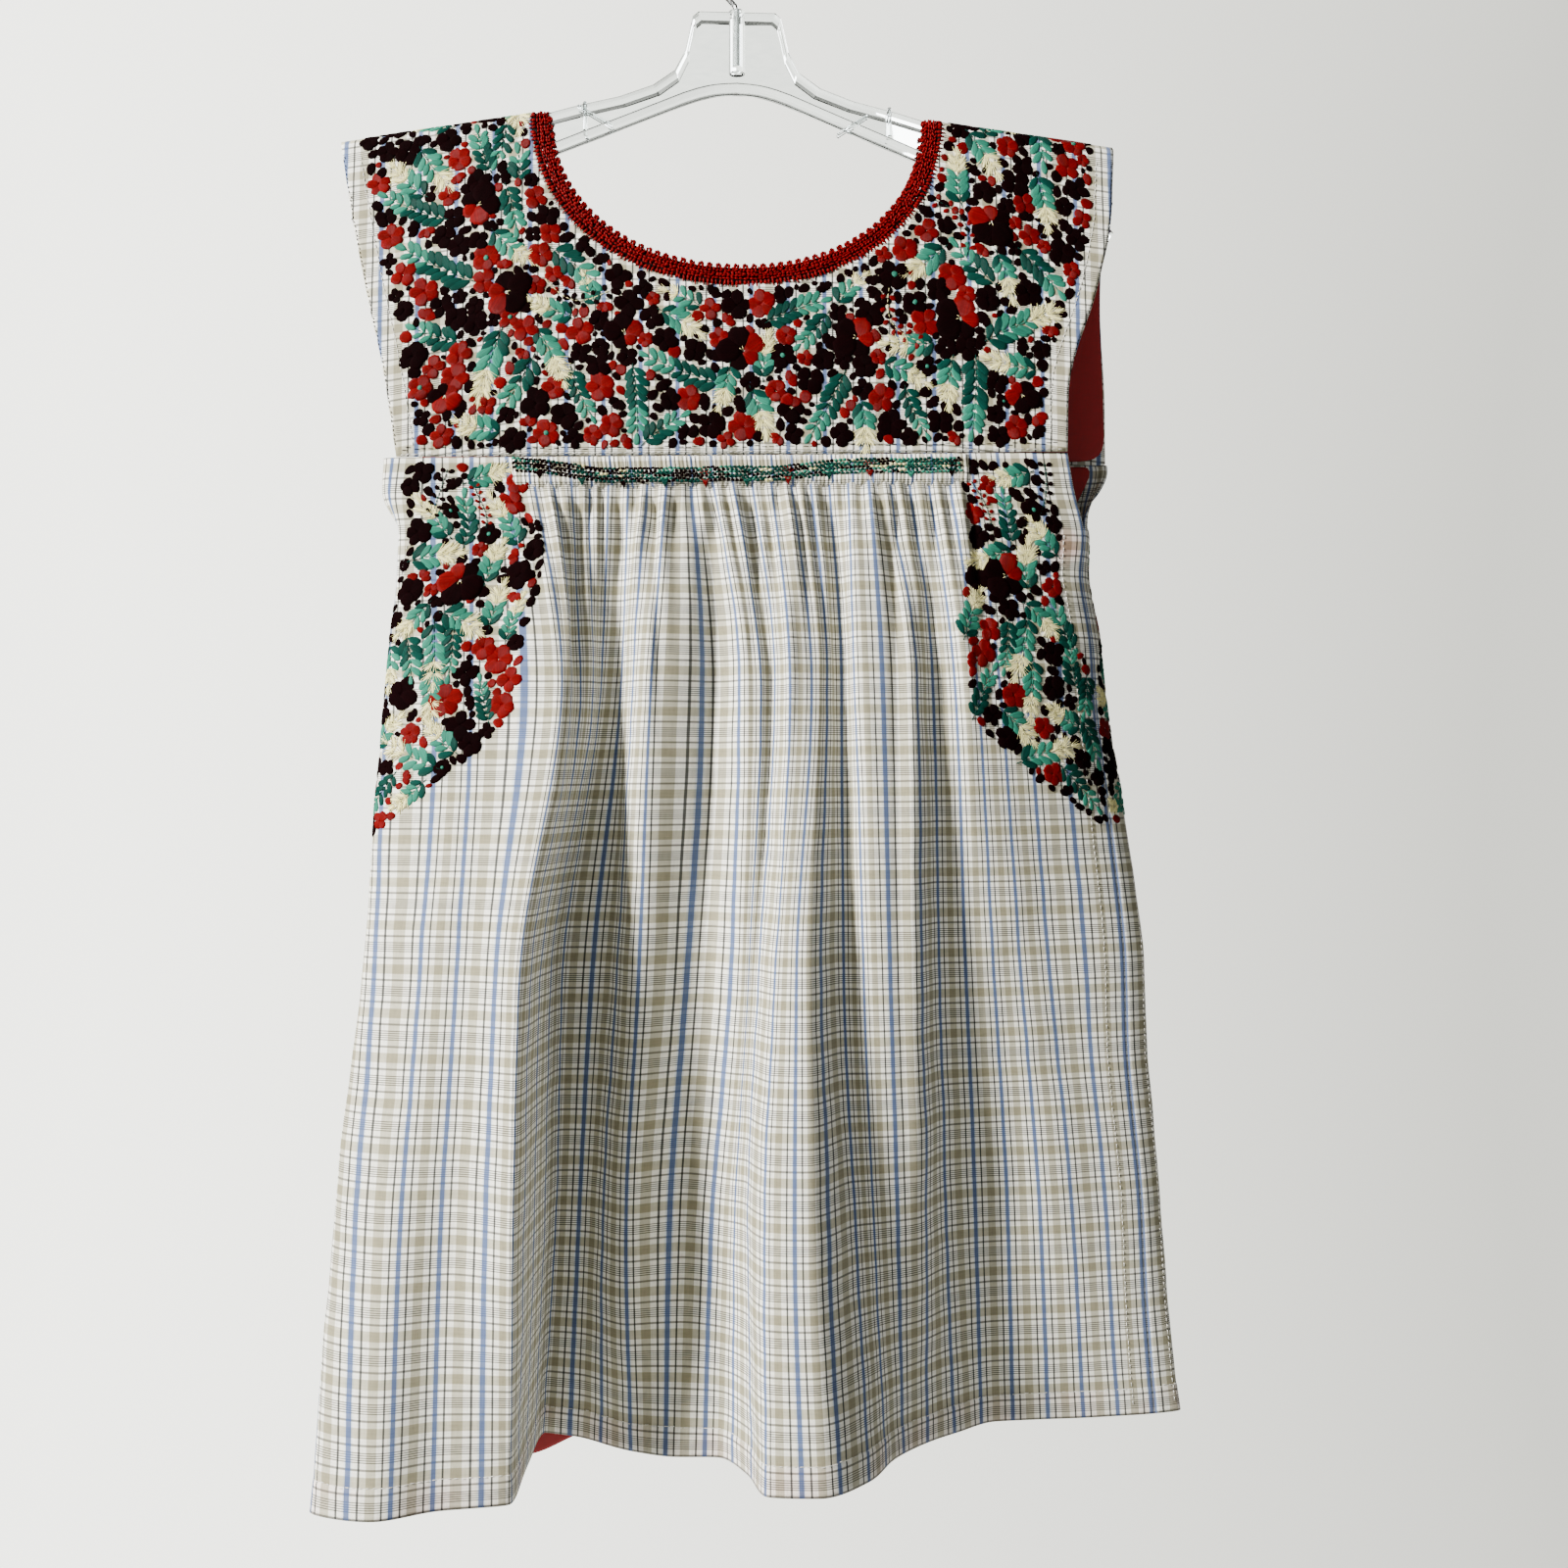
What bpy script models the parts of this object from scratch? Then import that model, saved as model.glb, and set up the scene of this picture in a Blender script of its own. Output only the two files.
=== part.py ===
"""Embroidered blouse on its clear hanger.

The blouse hangs with its front towards -Y. X is to the right, Z is up, and the origin is the inside
top of the hook. Lengths in the tables are millimetres, everything else is metres.
"""
import math

import bmesh
import bpy
import numpy as np

MM = 0.001

# Cloth
CLOTH = 0.0015          # wall of the plaid cloth with its embroidery
LINING = 0.0010         # wall of the lining
SEAM_GAP = 0.0004       # what two pieces keep between them at a seam
SIDE_GAP = 0.00015      # half of the gap at a side seam

# Shoulders and yoke
FOLD_RADIUS = 0.008     # outer radius of the cloth where it folds over the hanger's arms
SHOULDER_LEFT = ((-0.1140, -0.1206), (-0.2195, -0.1390))   # x and z at the neck and at the tip
SHOULDER_RIGHT = ((0.1148, -0.1206), (0.2135, -0.1330))
NECK_CENTRE = 0.0004
NECK_HALF_WIDTH = 0.1143
NECK_DEPTH = 0.0985     # from the shoulder line to the lowest point of the front neck edge
NECK_DEPTH_BACK = 0.0925
NECK_SQUARENESS = 2.15  # 2 would be an ellipse
YOKE_SEAM_Z = -0.3143
YOKE_SEAM_TILT = 0.0195  # the seam hangs lower on the left
YOKE_SWELL_FRONT = 0.014  # how far the cloth comes away from the fold by the seam
YOKE_SWELL_BACK = 0.009

# Neck trim
TRIM_WIDTH = 0.0090
TRIM_THICKNESS = 0.0020
PICOT_HEIGHT = 0.0022
PICOT_PITCH = 0.0054

# Skirt
HEM_Z = -0.8572
UNDERARM = 0.079        # share of the skirt's height between the yoke seam and the underarm
SMOCK_DEPTH = 0.0345    # the same share for the lower edge of the smocking
SKIRT_ROWS = (0.0, SMOCK_DEPTH, UNDERARM, 0.13, 0.19, 0.27, 0.38, 0.50, 0.63, 0.77, 0.90, 1.0)
STATIONS = (0.0, 0.232, 0.527, 0.784, 1.0)  # heights of the fold tables: seam, high, middle, low, hem

# Hanger
RAIL_HALF_THICKNESS = 0.0040
RAIL_HEIGHT = 0.0065
WEB_HALF_THICKNESS = 0.0011
WIRE_RADIUS = 0.0016
HOOK_RADIUS = 0.0200    # inside radius of the hook's bend
STEM_END_Z = -0.0915
BORE_GAP = 0.0003

# Edges of the yoke: height z, then x of the left and right armhole edge, in mm
YOKE_FRONT_EDGES = (
    (-139, -219.5, None), (-180, -212.5, None), (-227, -203.0, None), (-270, -193.5, None),
    (-318, -186.0, None),
    (-133, None, 213.5), (-178, None, 210.5), (-215, None, 202.5), (-277, None, 184.5), (-311, None, 183.5),
)
YOKE_BACK_EDGES = (
    (-139, -219.5, None), (-180, -211.0, None), (-227, -198.0, None), (-270, -187.0, None),
    (-318, -180.0, None),
    (-133, None, 213.5), (-178, None, 211.5), (-215, None, 210.5), (-277, None, 214.0), (-311, None, 214.5),
)

# Folds of the skirt, as they follow each other round it. Each row: name, then x and y in mm high up, in the
# middle, low and at the hem. The front runs from the left side seam to the right one.
FRONT_FOLDS = (
    ("side seam left", (-184, -8), (-190, -34), (-200, -56), (-203, -84)),
    ("left edge", (-193, -19), (-200, -46), (-211, -68), (-214, -96)),
    ("left panel", (-160, -30), (-168, -62), (-178, -88), (-181, -110)),
    ("shallow valley", (-137, -31), (-142, -68), (-149, -84), (-151, -100)),
    ("flap crest", (-96, -37), (-114, -80), (-115, -97), (-116, -94)),
    ("flap side", (-83, -25), (-104, -42), (-107, -46), (-112, -43)),
    ("deep valley", (-74, -13), (-95, -12), (-100, -8), (-107, -6)),
    ("recess", (-62, -16), (-76, -13), (-84, -12), (-88, -13)),
    ("left crest", (-46, -30), (-52, -33), (-59, -32), (-56, -34)),
    ("narrow valley", (-12, -15), (-21, -18), (-31, -24), (-34, -42)),
    ("centre crest", (6, -29), (2, -33), (-8, -36), (-11, -44)),
    ("step", (18, -25), (9, -34), (3, -46), (4, -66)),
    ("big crest left", (30, -31), (20, -52), (14, -74), (14, -93)),
    ("big crest right", (45, -29), (36, -55), (36, -78), (40, -96)),
    ("right valley", (57, -21), (57, -33), (62, -52), (66, -79)),
    ("pinched ridge", (72, -30), (76, -37), (80, -45), (84, -50)),
    ("right crest", (92, -30), (94, -35), (97, -38), (97, -36)),
    ("broad valley", (110, -20), (114, -14), (118, -14), (122, -18)),
    ("right fold edge", (126, -24), (136, -12), (144, -6), (147, -4)),
    ("right panel", (160, -19), (176, -6), (190, -3), (197, -1)),
    ("side seam right", (203, -5), (221, 3), (232, 5), (240, 3)),
)
# The back runs on from the right side seam to the left one.
BACK_FOLDS = (
    ("right edge", (212, 8), (235, 12), (246, 14), (256, 8)),
    ("right back panel", (188, 20), (206, 28), (216, 32), (226, 30)),
    ("right back valley", (146, 19), (156, 24), (162, 26), (166, 24)),
    ("right back crest", (108, 25), (116, 33), (122, 42), (124, 47)),
    ("back valley one", (76, 18), (80, 20), (84, 23), (85, 22)),
    ("back crest one", (50, 23), (53, 29), (56, 36), (58, 40)),
    ("back valley two", (24, 17), (26, 21), (27, 26), (28, 29)),
    ("back crest two", (-9, 27), (-10, 38), (-12, 47), (-12, 53)),
    ("back valley three", (-40, 17), (-43, 18), (-47, 20), (-50, 21)),
    ("back crest three", (-67, 22), (-68, 28), (-71, 33), (-74, 35)),
    ("back valley four", (-98, 17), (-101, 17), (-103, 20), (-103, 21)),
    ("left back crest", (-126, 20), (-130, 20), (-134, 20), (-135, 18)),
    ("left back panel", (-156, 12), (-162, 2), (-168, -12), (-170, -22)),
)
# Where the cloth starts at the yoke seam. Each row: the side seam that it is measured from along the cloth,
# that measure, then x and y, in mm. "end" is the left seam again, once round.
SEAM_LINE_FRONT = (
    ("left", 0, -189, -20), ("left", 16, -184, -22), ("left", 103, -124, -22),
    ("right", -62, 126, -22), ("right", 0, 184, -20),
)
SEAM_LINE_BACK = (
    ("right", 17, 189, -6), ("right", 54, 178, 12), ("right", 114, 140, 16),
    ("end", -123, -130, 16), ("end", -70, -160, 12), ("end", 0, -189, -20),
)
SMOCKED = {"front": (("left", 103), ("right", -62)), "back": (("right", 114), ("end", -123))}
GATHERS_FRONT = 27
GATHERS_BACK = 19
# Depth of the small gathers under the smocking, in mm, by share of the skirt's height
GATHER_DEPTH = (
    (0.0, 0.4), (SMOCK_DEPTH, 0.7), (0.06, 1.8), (0.13, 1.6), (0.19, 1.1), (0.27, 0.6), (0.38, 0.2),
    (0.5, 0.0),
)
# Small waves of the side edges, in mm along x, by share of the skirt's height
SIDE_WAVES = (
    (0.0, -4.0, 0.0), (0.035, -6.0, 1.0), (0.079, 3.0, 4.0), (0.13, 4.0, -0.5), (0.19, 2.0, 1.0),
    (0.27, 0.0, -1.0), (0.38, -1.0, 0.5), (0.50, 1.0, 2.0), (0.63, -1.5, -1.0), (0.77, 0.5, 1.0),
    (0.90, -0.5, -0.5), (1.0, 0.0, 0.0),
)
SIDE_WAVE_REACH = 0.045  # how far from the side seam the wave dies out
BACK_EDGE_OPEN_RIGHT = (0.031, 0.037)   # x and y between front and back at the top of the right armhole
BACK_EDGE_OPEN_LEFT = (0.006, 0.037)
ARMHOLE_SPREAD = 0.060   # how far along the back panel this opening dies out
SIDE_COLUMNS = {"front": (13, 9), "back": (9, 8)}   # columns of a panel before and after its smocking

COLOURS = {
    "plaid": (0.78, 0.76, 0.68), "trim": (0.32, 0.01, 0.02), "lining": (0.30, 0.005, 0.012),
    "smocking": (0.35, 0.55, 0.50), "clear": (0.85, 0.87, 0.88), "wire": (0.5, 0.5, 0.5),
}


def start():
    """An empty scene and a collection for the blouse."""
    for thing in list(bpy.data.objects):
        bpy.data.objects.remove(thing, do_unlink=True)
    parts = bpy.data.collections.new("embroidered_blouse")
    cutters = bpy.data.collections.new("cutters")
    bpy.context.scene.collection.children.link(parts)
    bpy.context.scene.collection.children.link(cutters)
    return parts, cutters


def finish_for(name):
    """The material of a finish, made once."""
    found = bpy.data.materials.get(name)
    if found:
        return found
    material = bpy.data.materials.new(name)
    material.use_nodes = True
    shader = material.node_tree.nodes["Principled BSDF"]
    shader.inputs["Base Color"].default_value = (*COLOURS[name], 1.0)
    shader.inputs["Roughness"].default_value = {"clear": 0.08, "wire": 0.25}.get(name, 0.85)
    shader.inputs["Metallic"].default_value = 1.0 if name == "wire" else 0.0
    return material


def add_mesh(name, points, faces, finish):
    mesh = bpy.data.meshes.new(name)
    mesh.from_pydata([tuple(p) for p in points], [], faces)
    mesh.update()
    thing = bpy.data.objects.new(name, mesh)
    PARTS.objects.link(thing)
    mesh.materials.append(finish_for(finish))
    return thing


def wall(name, outer, inner, finish):
    """A cloth wall between an outer and an inner grid of points, with its four edges closed."""
    rows, cols = outer.shape[:2]
    points = np.concatenate([outer.reshape(-1, 3), inner.reshape(-1, 3)])
    back = rows * cols

    def spot(r, c):
        return r * cols + c

    faces = []
    for r in range(rows - 1):
        for c in range(cols - 1):
            a, b, d, e = spot(r, c), spot(r, c + 1), spot(r + 1, c + 1), spot(r + 1, c)
            faces.append((a, e, d, b))
            faces.append((back + a, back + b, back + d, back + e))
    rim = [spot(0, c) for c in range(cols)]
    rim += [spot(r, cols - 1) for r in range(1, rows)]
    rim += [spot(rows - 1, c) for c in range(cols - 2, -1, -1)]
    rim += [spot(r, 0) for r in range(rows - 2, 0, -1)]
    for here, there in zip(rim, rim[1:] + rim[:1]):
        faces.append((here, there, back + there, back + here))
    thing = add_mesh(name, points, faces, finish)
    form = bmesh.new()
    form.from_mesh(thing.data)
    bmesh.ops.recalc_face_normals(form, faces=form.faces)
    form.to_mesh(thing.data)
    form.free()
    thing.data.shade_smooth()
    thing.data.set_sharp_from_angle(angle=math.radians(50))
    return thing


def soft_curve(stations, values, at):
    """Smooth curves through rows of values that never swing past them."""
    stations = np.asarray(stations, float)
    values = np.asarray(values, float)
    at = np.asarray(at, float)
    steps = np.diff(stations)
    climbs = np.diff(values, axis=0) / steps[:, None]
    slopes = np.zeros_like(values)
    slopes[0] = climbs[0]
    slopes[-1] = climbs[-1]
    for k in range(1, len(stations) - 1):
        before, after = climbs[k - 1], climbs[k]
        first, second = 2 * steps[k] + steps[k - 1], steps[k] + 2 * steps[k - 1]
        same = before * after > 0
        with np.errstate(divide="ignore", invalid="ignore"):
            mean = (first + second) / (first / before + second / after)
        slopes[k] = np.where(same, mean, 0.0)
    k = np.clip(np.searchsorted(stations, at, side="right") - 1, 0, len(stations) - 2)
    u = ((at - stations[k]) / steps[k])[:, None]
    h = steps[k][:, None]
    return ((1 + 2 * u) * (1 - u) ** 2 * values[k] + u * (1 - u) ** 2 * h * slopes[k]
            + u * u * (3 - 2 * u) * values[k + 1] + u * u * (u - 1) * h * slopes[k + 1])


def normals_of(grid):
    """Unit normals of a grid, outward when rows run down and columns run from left to right as seen."""
    down = np.gradient(grid, axis=0)
    along = np.gradient(grid, axis=1)
    normal = np.cross(down, along)
    return normal / np.linalg.norm(normal, axis=2)[:, :, None]


# The yoke

def shoulder_z(x):
    """Height of the shoulder fold over a place x."""
    line_x = [SHOULDER_LEFT[1][0], SHOULDER_LEFT[0][0], SHOULDER_RIGHT[0][0], SHOULDER_RIGHT[1][0]]
    line_z = [SHOULDER_LEFT[1][1], SHOULDER_LEFT[0][1], SHOULDER_RIGHT[0][1], SHOULDER_RIGHT[1][1]]
    return np.interp(x, line_x, line_z)


def yoke_seam_z(x):
    return YOKE_SEAM_Z + YOKE_SEAM_TILT * x


def yoke_y(x, z, side):
    """Depth of the yoke's outer face. side is -1 for the front and 1 for the back."""
    drop = np.maximum(shoulder_z(x) - z, 0.0)
    inside = np.minimum(drop, FOLD_RADIUS)
    rounded = np.sqrt(np.maximum(FOLD_RADIUS ** 2 - (FOLD_RADIUS - inside) ** 2, 0.0))
    swell = YOKE_SWELL_FRONT if side < 0 else YOKE_SWELL_BACK
    share = np.clip((drop - FOLD_RADIUS) / (shoulder_z(0.0) - YOKE_SEAM_Z - FOLD_RADIUS), 0.0, 1.0)
    ease = np.sin(share * math.pi / 2)
    return side * (np.maximum(rounded, SEAM_GAP / 2) + swell * ease)


def neck_point(angle, depth, inset=0.0):
    """A point of the neck edge, angle from 0 at the left shoulder to pi at the right one."""
    power = 2 / NECK_SQUARENESS
    cos, sin = math.cos(angle), math.sin(angle)
    x = NECK_CENTRE - (NECK_HALF_WIDTH - inset) * math.copysign(abs(cos) ** power, cos)
    return x, SHOULDER_LEFT[0][1] - (depth - inset) * max(sin, 0.0) ** power


def armhole_x(table, z, column):
    rows = sorted((row for row in table if row[column] is not None), key=lambda row: row[0])
    heights = [row[0] * MM for row in rows]
    places = np.array([[row[column] * MM] for row in rows])
    return soft_curve(heights, places, [min(max(z, heights[0]), heights[-1])])[0, 0]


FOLD_STEPS = (0.0, 0.0011, 0.0040, FOLD_RADIUS)   # drops below the shoulder where the fold is drawn
ARMHOLE_SPOKES = 8
SEAM_SPOKES = 20
CORNER_ANGLE = math.radians(38)   # place on the neck edge whose spoke runs to the corner of armhole and seam
YOKE_STEPS = 4                    # steps of each spoke


def yoke_spokes(table, depth):
    """Lines across the yoke, from the neck edge to its outer edge, left shoulder to right."""
    spokes = []
    for side, column, tip in ((-1, 1, SHOULDER_LEFT[1]), (1, 2, SHOULDER_RIGHT[1])):
        run = []
        corner_z = yoke_seam_z(armhole_x(table, YOKE_SEAM_Z, column))
        for drop in FOLD_STEPS:
            z = tip[1] - drop
            run.append((neck_at_drop(side, drop, depth), (armhole_x(table, z, column), z)))
        first_angle = angle_at_drop(FOLD_RADIUS, depth)
        first_z = tip[1] - FOLD_RADIUS
        for k in range(1, ARMHOLE_SPOKES + 1):
            share = k / ARMHOLE_SPOKES
            angle = first_angle + (CORNER_ANGLE - first_angle) * share
            inner = neck_point(angle if side < 0 else math.pi - angle, depth)
            z = first_z + (corner_z - first_z) * share
            run.append((inner, (armhole_x(table, z, column), z)))
        spokes.append(run)
    left, right = spokes[0], spokes[1][::-1]
    start_x, end_x = left[-1][1][0], right[0][1][0]
    middle = []
    for k in range(1, SEAM_SPOKES):
        share = k / SEAM_SPOKES
        angle = CORNER_ANGLE + (math.pi - 2 * CORNER_ANGLE) * share
        x = start_x + (end_x - start_x) * share
        middle.append((neck_point(angle, depth), (x, yoke_seam_z(x))))
    return left + middle + right


def angle_at_drop(drop, depth):
    return math.asin(min(1.0, (drop / depth) ** (NECK_SQUARENESS / 2)))


def neck_at_drop(side, drop, depth):
    angle = angle_at_drop(drop, depth)
    return neck_point(angle if side < 0 else math.pi - angle, depth)


def yoke_grid(table, depth, side):
    """The outer face of half a yoke: columns along the neck, rows from the neck to the outer edge."""
    spokes = yoke_spokes(table, depth)
    grid = np.zeros((YOKE_STEPS + 1, len(spokes), 3))
    for c, (inner, outer) in enumerate(spokes):
        for r in range(YOKE_STEPS + 1):
            share = r / YOKE_STEPS
            x = inner[0] + (outer[0] - inner[0]) * share
            z = inner[1] + (outer[1] - inner[1]) * share
            grid[r, c] = (x, 0.0, z)
    for k, drop in enumerate(FOLD_STEPS):
        for column in (k, -1 - k):
            grid[:, column, 2] = shoulder_z(grid[:, column, 0]) - drop
    grid[:, :, 1] = yoke_y(grid[:, :, 0], grid[:, :, 2], side)
    return grid


def build_yoke():
    made = {}
    for name, table, depth, side in (("yoke_front", YOKE_FRONT_EDGES, NECK_DEPTH, -1),
                                     ("yoke_back", YOKE_BACK_EDGES, NECK_DEPTH_BACK, 1)):
        outer = yoke_grid(table, depth, side)
        inward = inward_of_yoke(outer, side)
        wall(name, outer, outer + inward * CLOTH, "plaid")
        made[name] = (outer, inward)
    outer, inward = made["yoke_back"]
    keep = slice(3, outer.shape[1] - 3)
    face = outer[:, keep] + inward[:, keep] * (CLOTH + SEAM_GAP)
    wall("lining_yoke_back", face, face + inward[:, keep] * LINING, "lining")
    return made


def inward_of_yoke(outer, side):
    """Directions into the hollow: square to the cloth in the fold, and level elsewhere."""
    drop = np.maximum(shoulder_z(outer[:, :, 0]) - outer[:, :, 2], 0.0)
    lean = np.clip(1 - drop / FOLD_RADIUS, 0.0, 1.0)
    inward = np.zeros_like(outer)
    inward[:, :, 2] = -lean
    inward[:, :, 1] = -side * np.sqrt(1 - lean ** 2)
    return inward


def build_trim():
    """The crocheted edging: a band along the neck edge whose free edge has a small point for each picot."""
    for name, depth, side in (("neck_trim_front", NECK_DEPTH, -1), ("neck_trim_back", NECK_DEPTH_BACK, 1)):
        start_angle = angle_at_drop(0.0030, depth)
        length = math.pi * (NECK_HALF_WIDTH + depth) / 2 * 0.95
        count = 2 * int(length / PICOT_PITCH)
        outer = np.zeros((2, count + 1, 3))
        for c in range(count + 1):
            angle = start_angle + (math.pi - 2 * start_angle) * c / count
            reach = TRIM_WIDTH + (PICOT_HEIGHT if c % 2 else 0.0)
            for r, inset in enumerate((SEAM_GAP, reach)):
                x, z = neck_point(angle, depth, inset)
                outer[r, c] = (x, yoke_y(x, z, side), z)
        inward = inward_of_yoke(outer, side)
        outer = outer - inward * (TRIM_THICKNESS - CLOTH)
        wall(name, outer, outer + inward * TRIM_THICKNESS, "trim")


# The skirt

def skirt_loop():
    """The fold lines all round the skirt, closed, with the cloth's own measure along the hem."""
    rows = FRONT_FOLDS + BACK_FOLDS
    rows += rows[:1]
    lines = np.array([row[1:] for row in rows], float) * MM
    hem = lines[:, -1, :]
    measure = np.concatenate([[0.0], np.cumsum(np.linalg.norm(np.diff(hem, axis=0), axis=1))])
    seams = {"left": 0.0, "right": measure[len(FRONT_FOLDS) - 1], "end": measure[-1]}
    seam_line = SEAM_LINE_FRONT + SEAM_LINE_BACK
    known = [seams[row[0]] + row[1] * MM for row in seam_line]
    places = np.array([row[2:] for row in seam_line], float) * MM
    seam = np.stack([np.interp(measure, known, places[:, k]) for k in range(2)], axis=1)
    return np.concatenate([seam[:, None], lines], axis=1), measure, seams


def gather_phase(share, gathers):
    """Phase of the small gathers along the smocking, with uneven spacing. A whole turn is one gather."""
    return 2 * math.pi * (gathers * share + 0.16 * np.sin(5 * 2 * math.pi * share)
                          + 0.07 * np.sin(11 * 2 * math.pi * share))


def gather_places(gathers):
    """Shares of the smocking's width where the gathers have their crests and troughs."""
    fine = np.linspace(0, 1, 4001)
    return np.interp(np.arange(2 * gathers + 1) * math.pi, gather_phase(fine, gathers), fine)


def gather_height(share, rows, gathers):
    """How far the small gathers stand out at each row and place, in metres."""
    depth = np.interp(rows, [row[0] for row in GATHER_DEPTH], [row[1] for row in GATHER_DEPTH]) * MM
    uneven = 0.85 + 0.15 * np.sin(7.3 * share * gathers / 4.0)
    return depth[:, None] * uneven[None, :] * np.cos(gather_phase(share, gathers))[None, :]


def open_share(rows):
    """How far the armhole stands open at each row of the skirt, 1 at the yoke seam."""
    share = np.clip(1 - np.asarray(rows) / UNDERARM, 0.0, 1.0)
    return share * share * (3 - 2 * share)


def skirt_surface(places, rows):
    """Points of the skirt's main folds at places along the hem's measure, by rows."""
    lines, measure, seams = skirt_loop()
    total = measure[-1]
    reach = 3
    wrapped = np.concatenate([lines[-1 - reach:-1], lines, lines[1:1 + reach]])
    stops = np.concatenate([measure[-1 - reach:-1] - total, measure, measure[1:1 + reach] + total])
    grid = np.zeros((len(rows), len(places), 3))
    down = [soft_curve(STATIONS, line, rows) for line in wrapped]
    for r in range(len(rows)):
        level = np.array([line[r] for line in down])
        grid[r, :, :2] = soft_curve(stops, level, places)
    waves = soft_curve([row[0] for row in SIDE_WAVES], [row[1:] for row in SIDE_WAVES], rows) * MM
    places = np.asarray(places)
    from_left = np.minimum(places, total - places)
    from_right = np.abs(places - seams["right"])
    for side, distance in enumerate((from_left, from_right)):
        near = np.clip(1 - distance / SIDE_WAVE_REACH, 0.0, 1.0)
        grid[:, :, 0] += waves[:, side:side + 1] * (near * near * (3 - 2 * near))[None, :]
    top = yoke_seam_z(grid[0, :, 0]) - SEAM_GAP
    grid[:, :, 2] = top[None, :] + (HEM_Z - top)[None, :] * np.asarray(rows)[:, None]
    return grid


def panel_columns(start, smock_start, smock_end, end, before, after, gathers):
    inside = smock_start + (smock_end - smock_start) * gather_places(gathers)
    left = np.linspace(start, smock_start, before + 1)[:-1]
    right = np.linspace(smock_end, end, after + 1)[1:]
    return np.concatenate([left, inside, right])


def skirt_panels():
    """Outer points and inward directions of the front and back panels."""
    seams = skirt_loop()[2]
    front_smock, back_smock = ([seams[side] + reach * MM for side, reach in SMOCKED[name]]
                               for name in ("front", "back"))
    rows = np.array(SKIRT_ROWS)
    front_at = panel_columns(seams["left"], *front_smock, seams["right"], *SIDE_COLUMNS["front"], GATHERS_FRONT)
    back_at = panel_columns(seams["right"], *back_smock, seams["end"], *SIDE_COLUMNS["back"], GATHERS_BACK)
    loop_at = np.concatenate([front_at, back_at[1:]])
    loop = skirt_surface(loop_at, rows)
    ring = np.concatenate([loop[:, -2:-1], loop, loop[:, 1:2]], axis=1)
    loop_out = normals_of(ring)[:, 1:-1]
    split = len(front_at)
    panels = {}
    for name, at, grid, out, smock, gathers in (
            ("front", front_at, loop[:, :split], loop_out[:, :split], front_smock, GATHERS_FRONT),
            ("back", back_at, loop[:, split - 1:], loop_out[:, split - 1:], back_smock, GATHERS_BACK)):
        plain, out = grid.copy(), out.copy()
        if name == "back":
            plain = open_armholes(plain, at, rows)
            alone = normals_of(plain)
            upper = rows < UNDERARM - 1e-6
            out[upper] = alone[upper]
        plain = part_at_seams(plain)
        share = (at - smock[0]) / (smock[1] - smock[0])
        inside = (share >= 0) & (share <= 1)
        bump = np.where(inside[None, :], gather_height(np.clip(share, 0, 1), rows, gathers), 0.0)
        gathered = plain + out * bump[:, :, None]
        panels[name] = {"at": at, "plain": plain, "grid": gathered, "out": out, "inside": inside}
    return panels


def open_armholes(grid, at, rows):
    """Moves the back panel's upper corners away from the front's, which leaves the armholes open."""
    grid = grid.copy()
    opened = open_share(rows)[:, None]
    for edge, (dx, dy) in ((at[0], BACK_EDGE_OPEN_RIGHT), (at[-1], BACK_EDGE_OPEN_LEFT)):
        near = np.clip(1 - np.abs(at - edge) / ARMHOLE_SPREAD, 0.0, 1.0)[None, :] ** 1.5
        grid[:, :, 0] += opened * near * dx
        grid[:, :, 1] += opened * near * dy
    return grid


def part_at_seams(grid):
    """Draws the two side edges of a panel in by half of the seam's gap."""
    grid = grid.copy()
    for edge, neighbour in ((0, 1), (-1, -2)):
        along = grid[:, neighbour] - grid[:, edge]
        grid[:, edge] += along / np.linalg.norm(along, axis=1)[:, None] * SIDE_GAP
    return grid


def build_skirt():
    panels = skirt_panels()
    for name, panel in panels.items():
        outer, out = panel["grid"], panel["out"]
        wall("body_" + name, outer, outer - out * CLOTH, "plaid")
        build_smocking(name, panel)
    build_linings(panels)
    return panels


SMOCK_RELIEF = 0.0009
SMOCK_STEPS = 4


def build_smocking(name, panel):
    """The smocked band over the top of the gathers, with a raised lattice of small diamonds."""
    keep = panel["inside"]
    top, low = panel["grid"][0][keep], panel["grid"][1][keep]
    out_top, out_low = panel["out"][0][keep], panel["out"][1][keep]
    inner = np.zeros((SMOCK_STEPS + 1, len(top), 3))
    outer = np.zeros_like(inner)
    for r in range(SMOCK_STEPS + 1):
        share = 0.04 + 0.92 * r / SMOCK_STEPS
        base = top + (low - top) * share
        out = out_top + (out_low - out_top) * share
        raised = np.array([(r + c) % 2 for c in range(len(top))]) * SMOCK_RELIEF
        inner[r] = base + out * SEAM_GAP
        outer[r] = base + out * (SEAM_GAP + 0.0010 + raised[:, None])
    wall("smocking_" + name, outer, inner, "smocking")


LINING_ROWS = (0, 2, 4, 6, 7, 8, 9, 10, 11)
LINING_COLUMNS = 28
LINING_CLEAR = 0.0030   # how far the lining hangs inside the cloth's folds
LINING_WINDOW = 0.015   # it spans folds narrower than twice this
LINING_ROOM = 0.006     # least room between the two linings at the sides
LINING_DIP = 0.0052     # how far it hangs below the front hem at the deep valley
LINING_DIP_X = (-0.125, -0.080)
LINING_TOP_LEFT = 0.010   # how far the back lining's upper corners lie inside the cloth's
LINING_TOP_RIGHT = 0.003


def section_line(plain, row):
    """A panel's main folds at one row, as many close points."""
    steps = np.arange(0, plain.shape[1] - 1 + 1e-6, 0.125)
    return [np.interp(steps, np.arange(plain.shape[1]), plain[row, :, k]) for k in range(3)]


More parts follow.
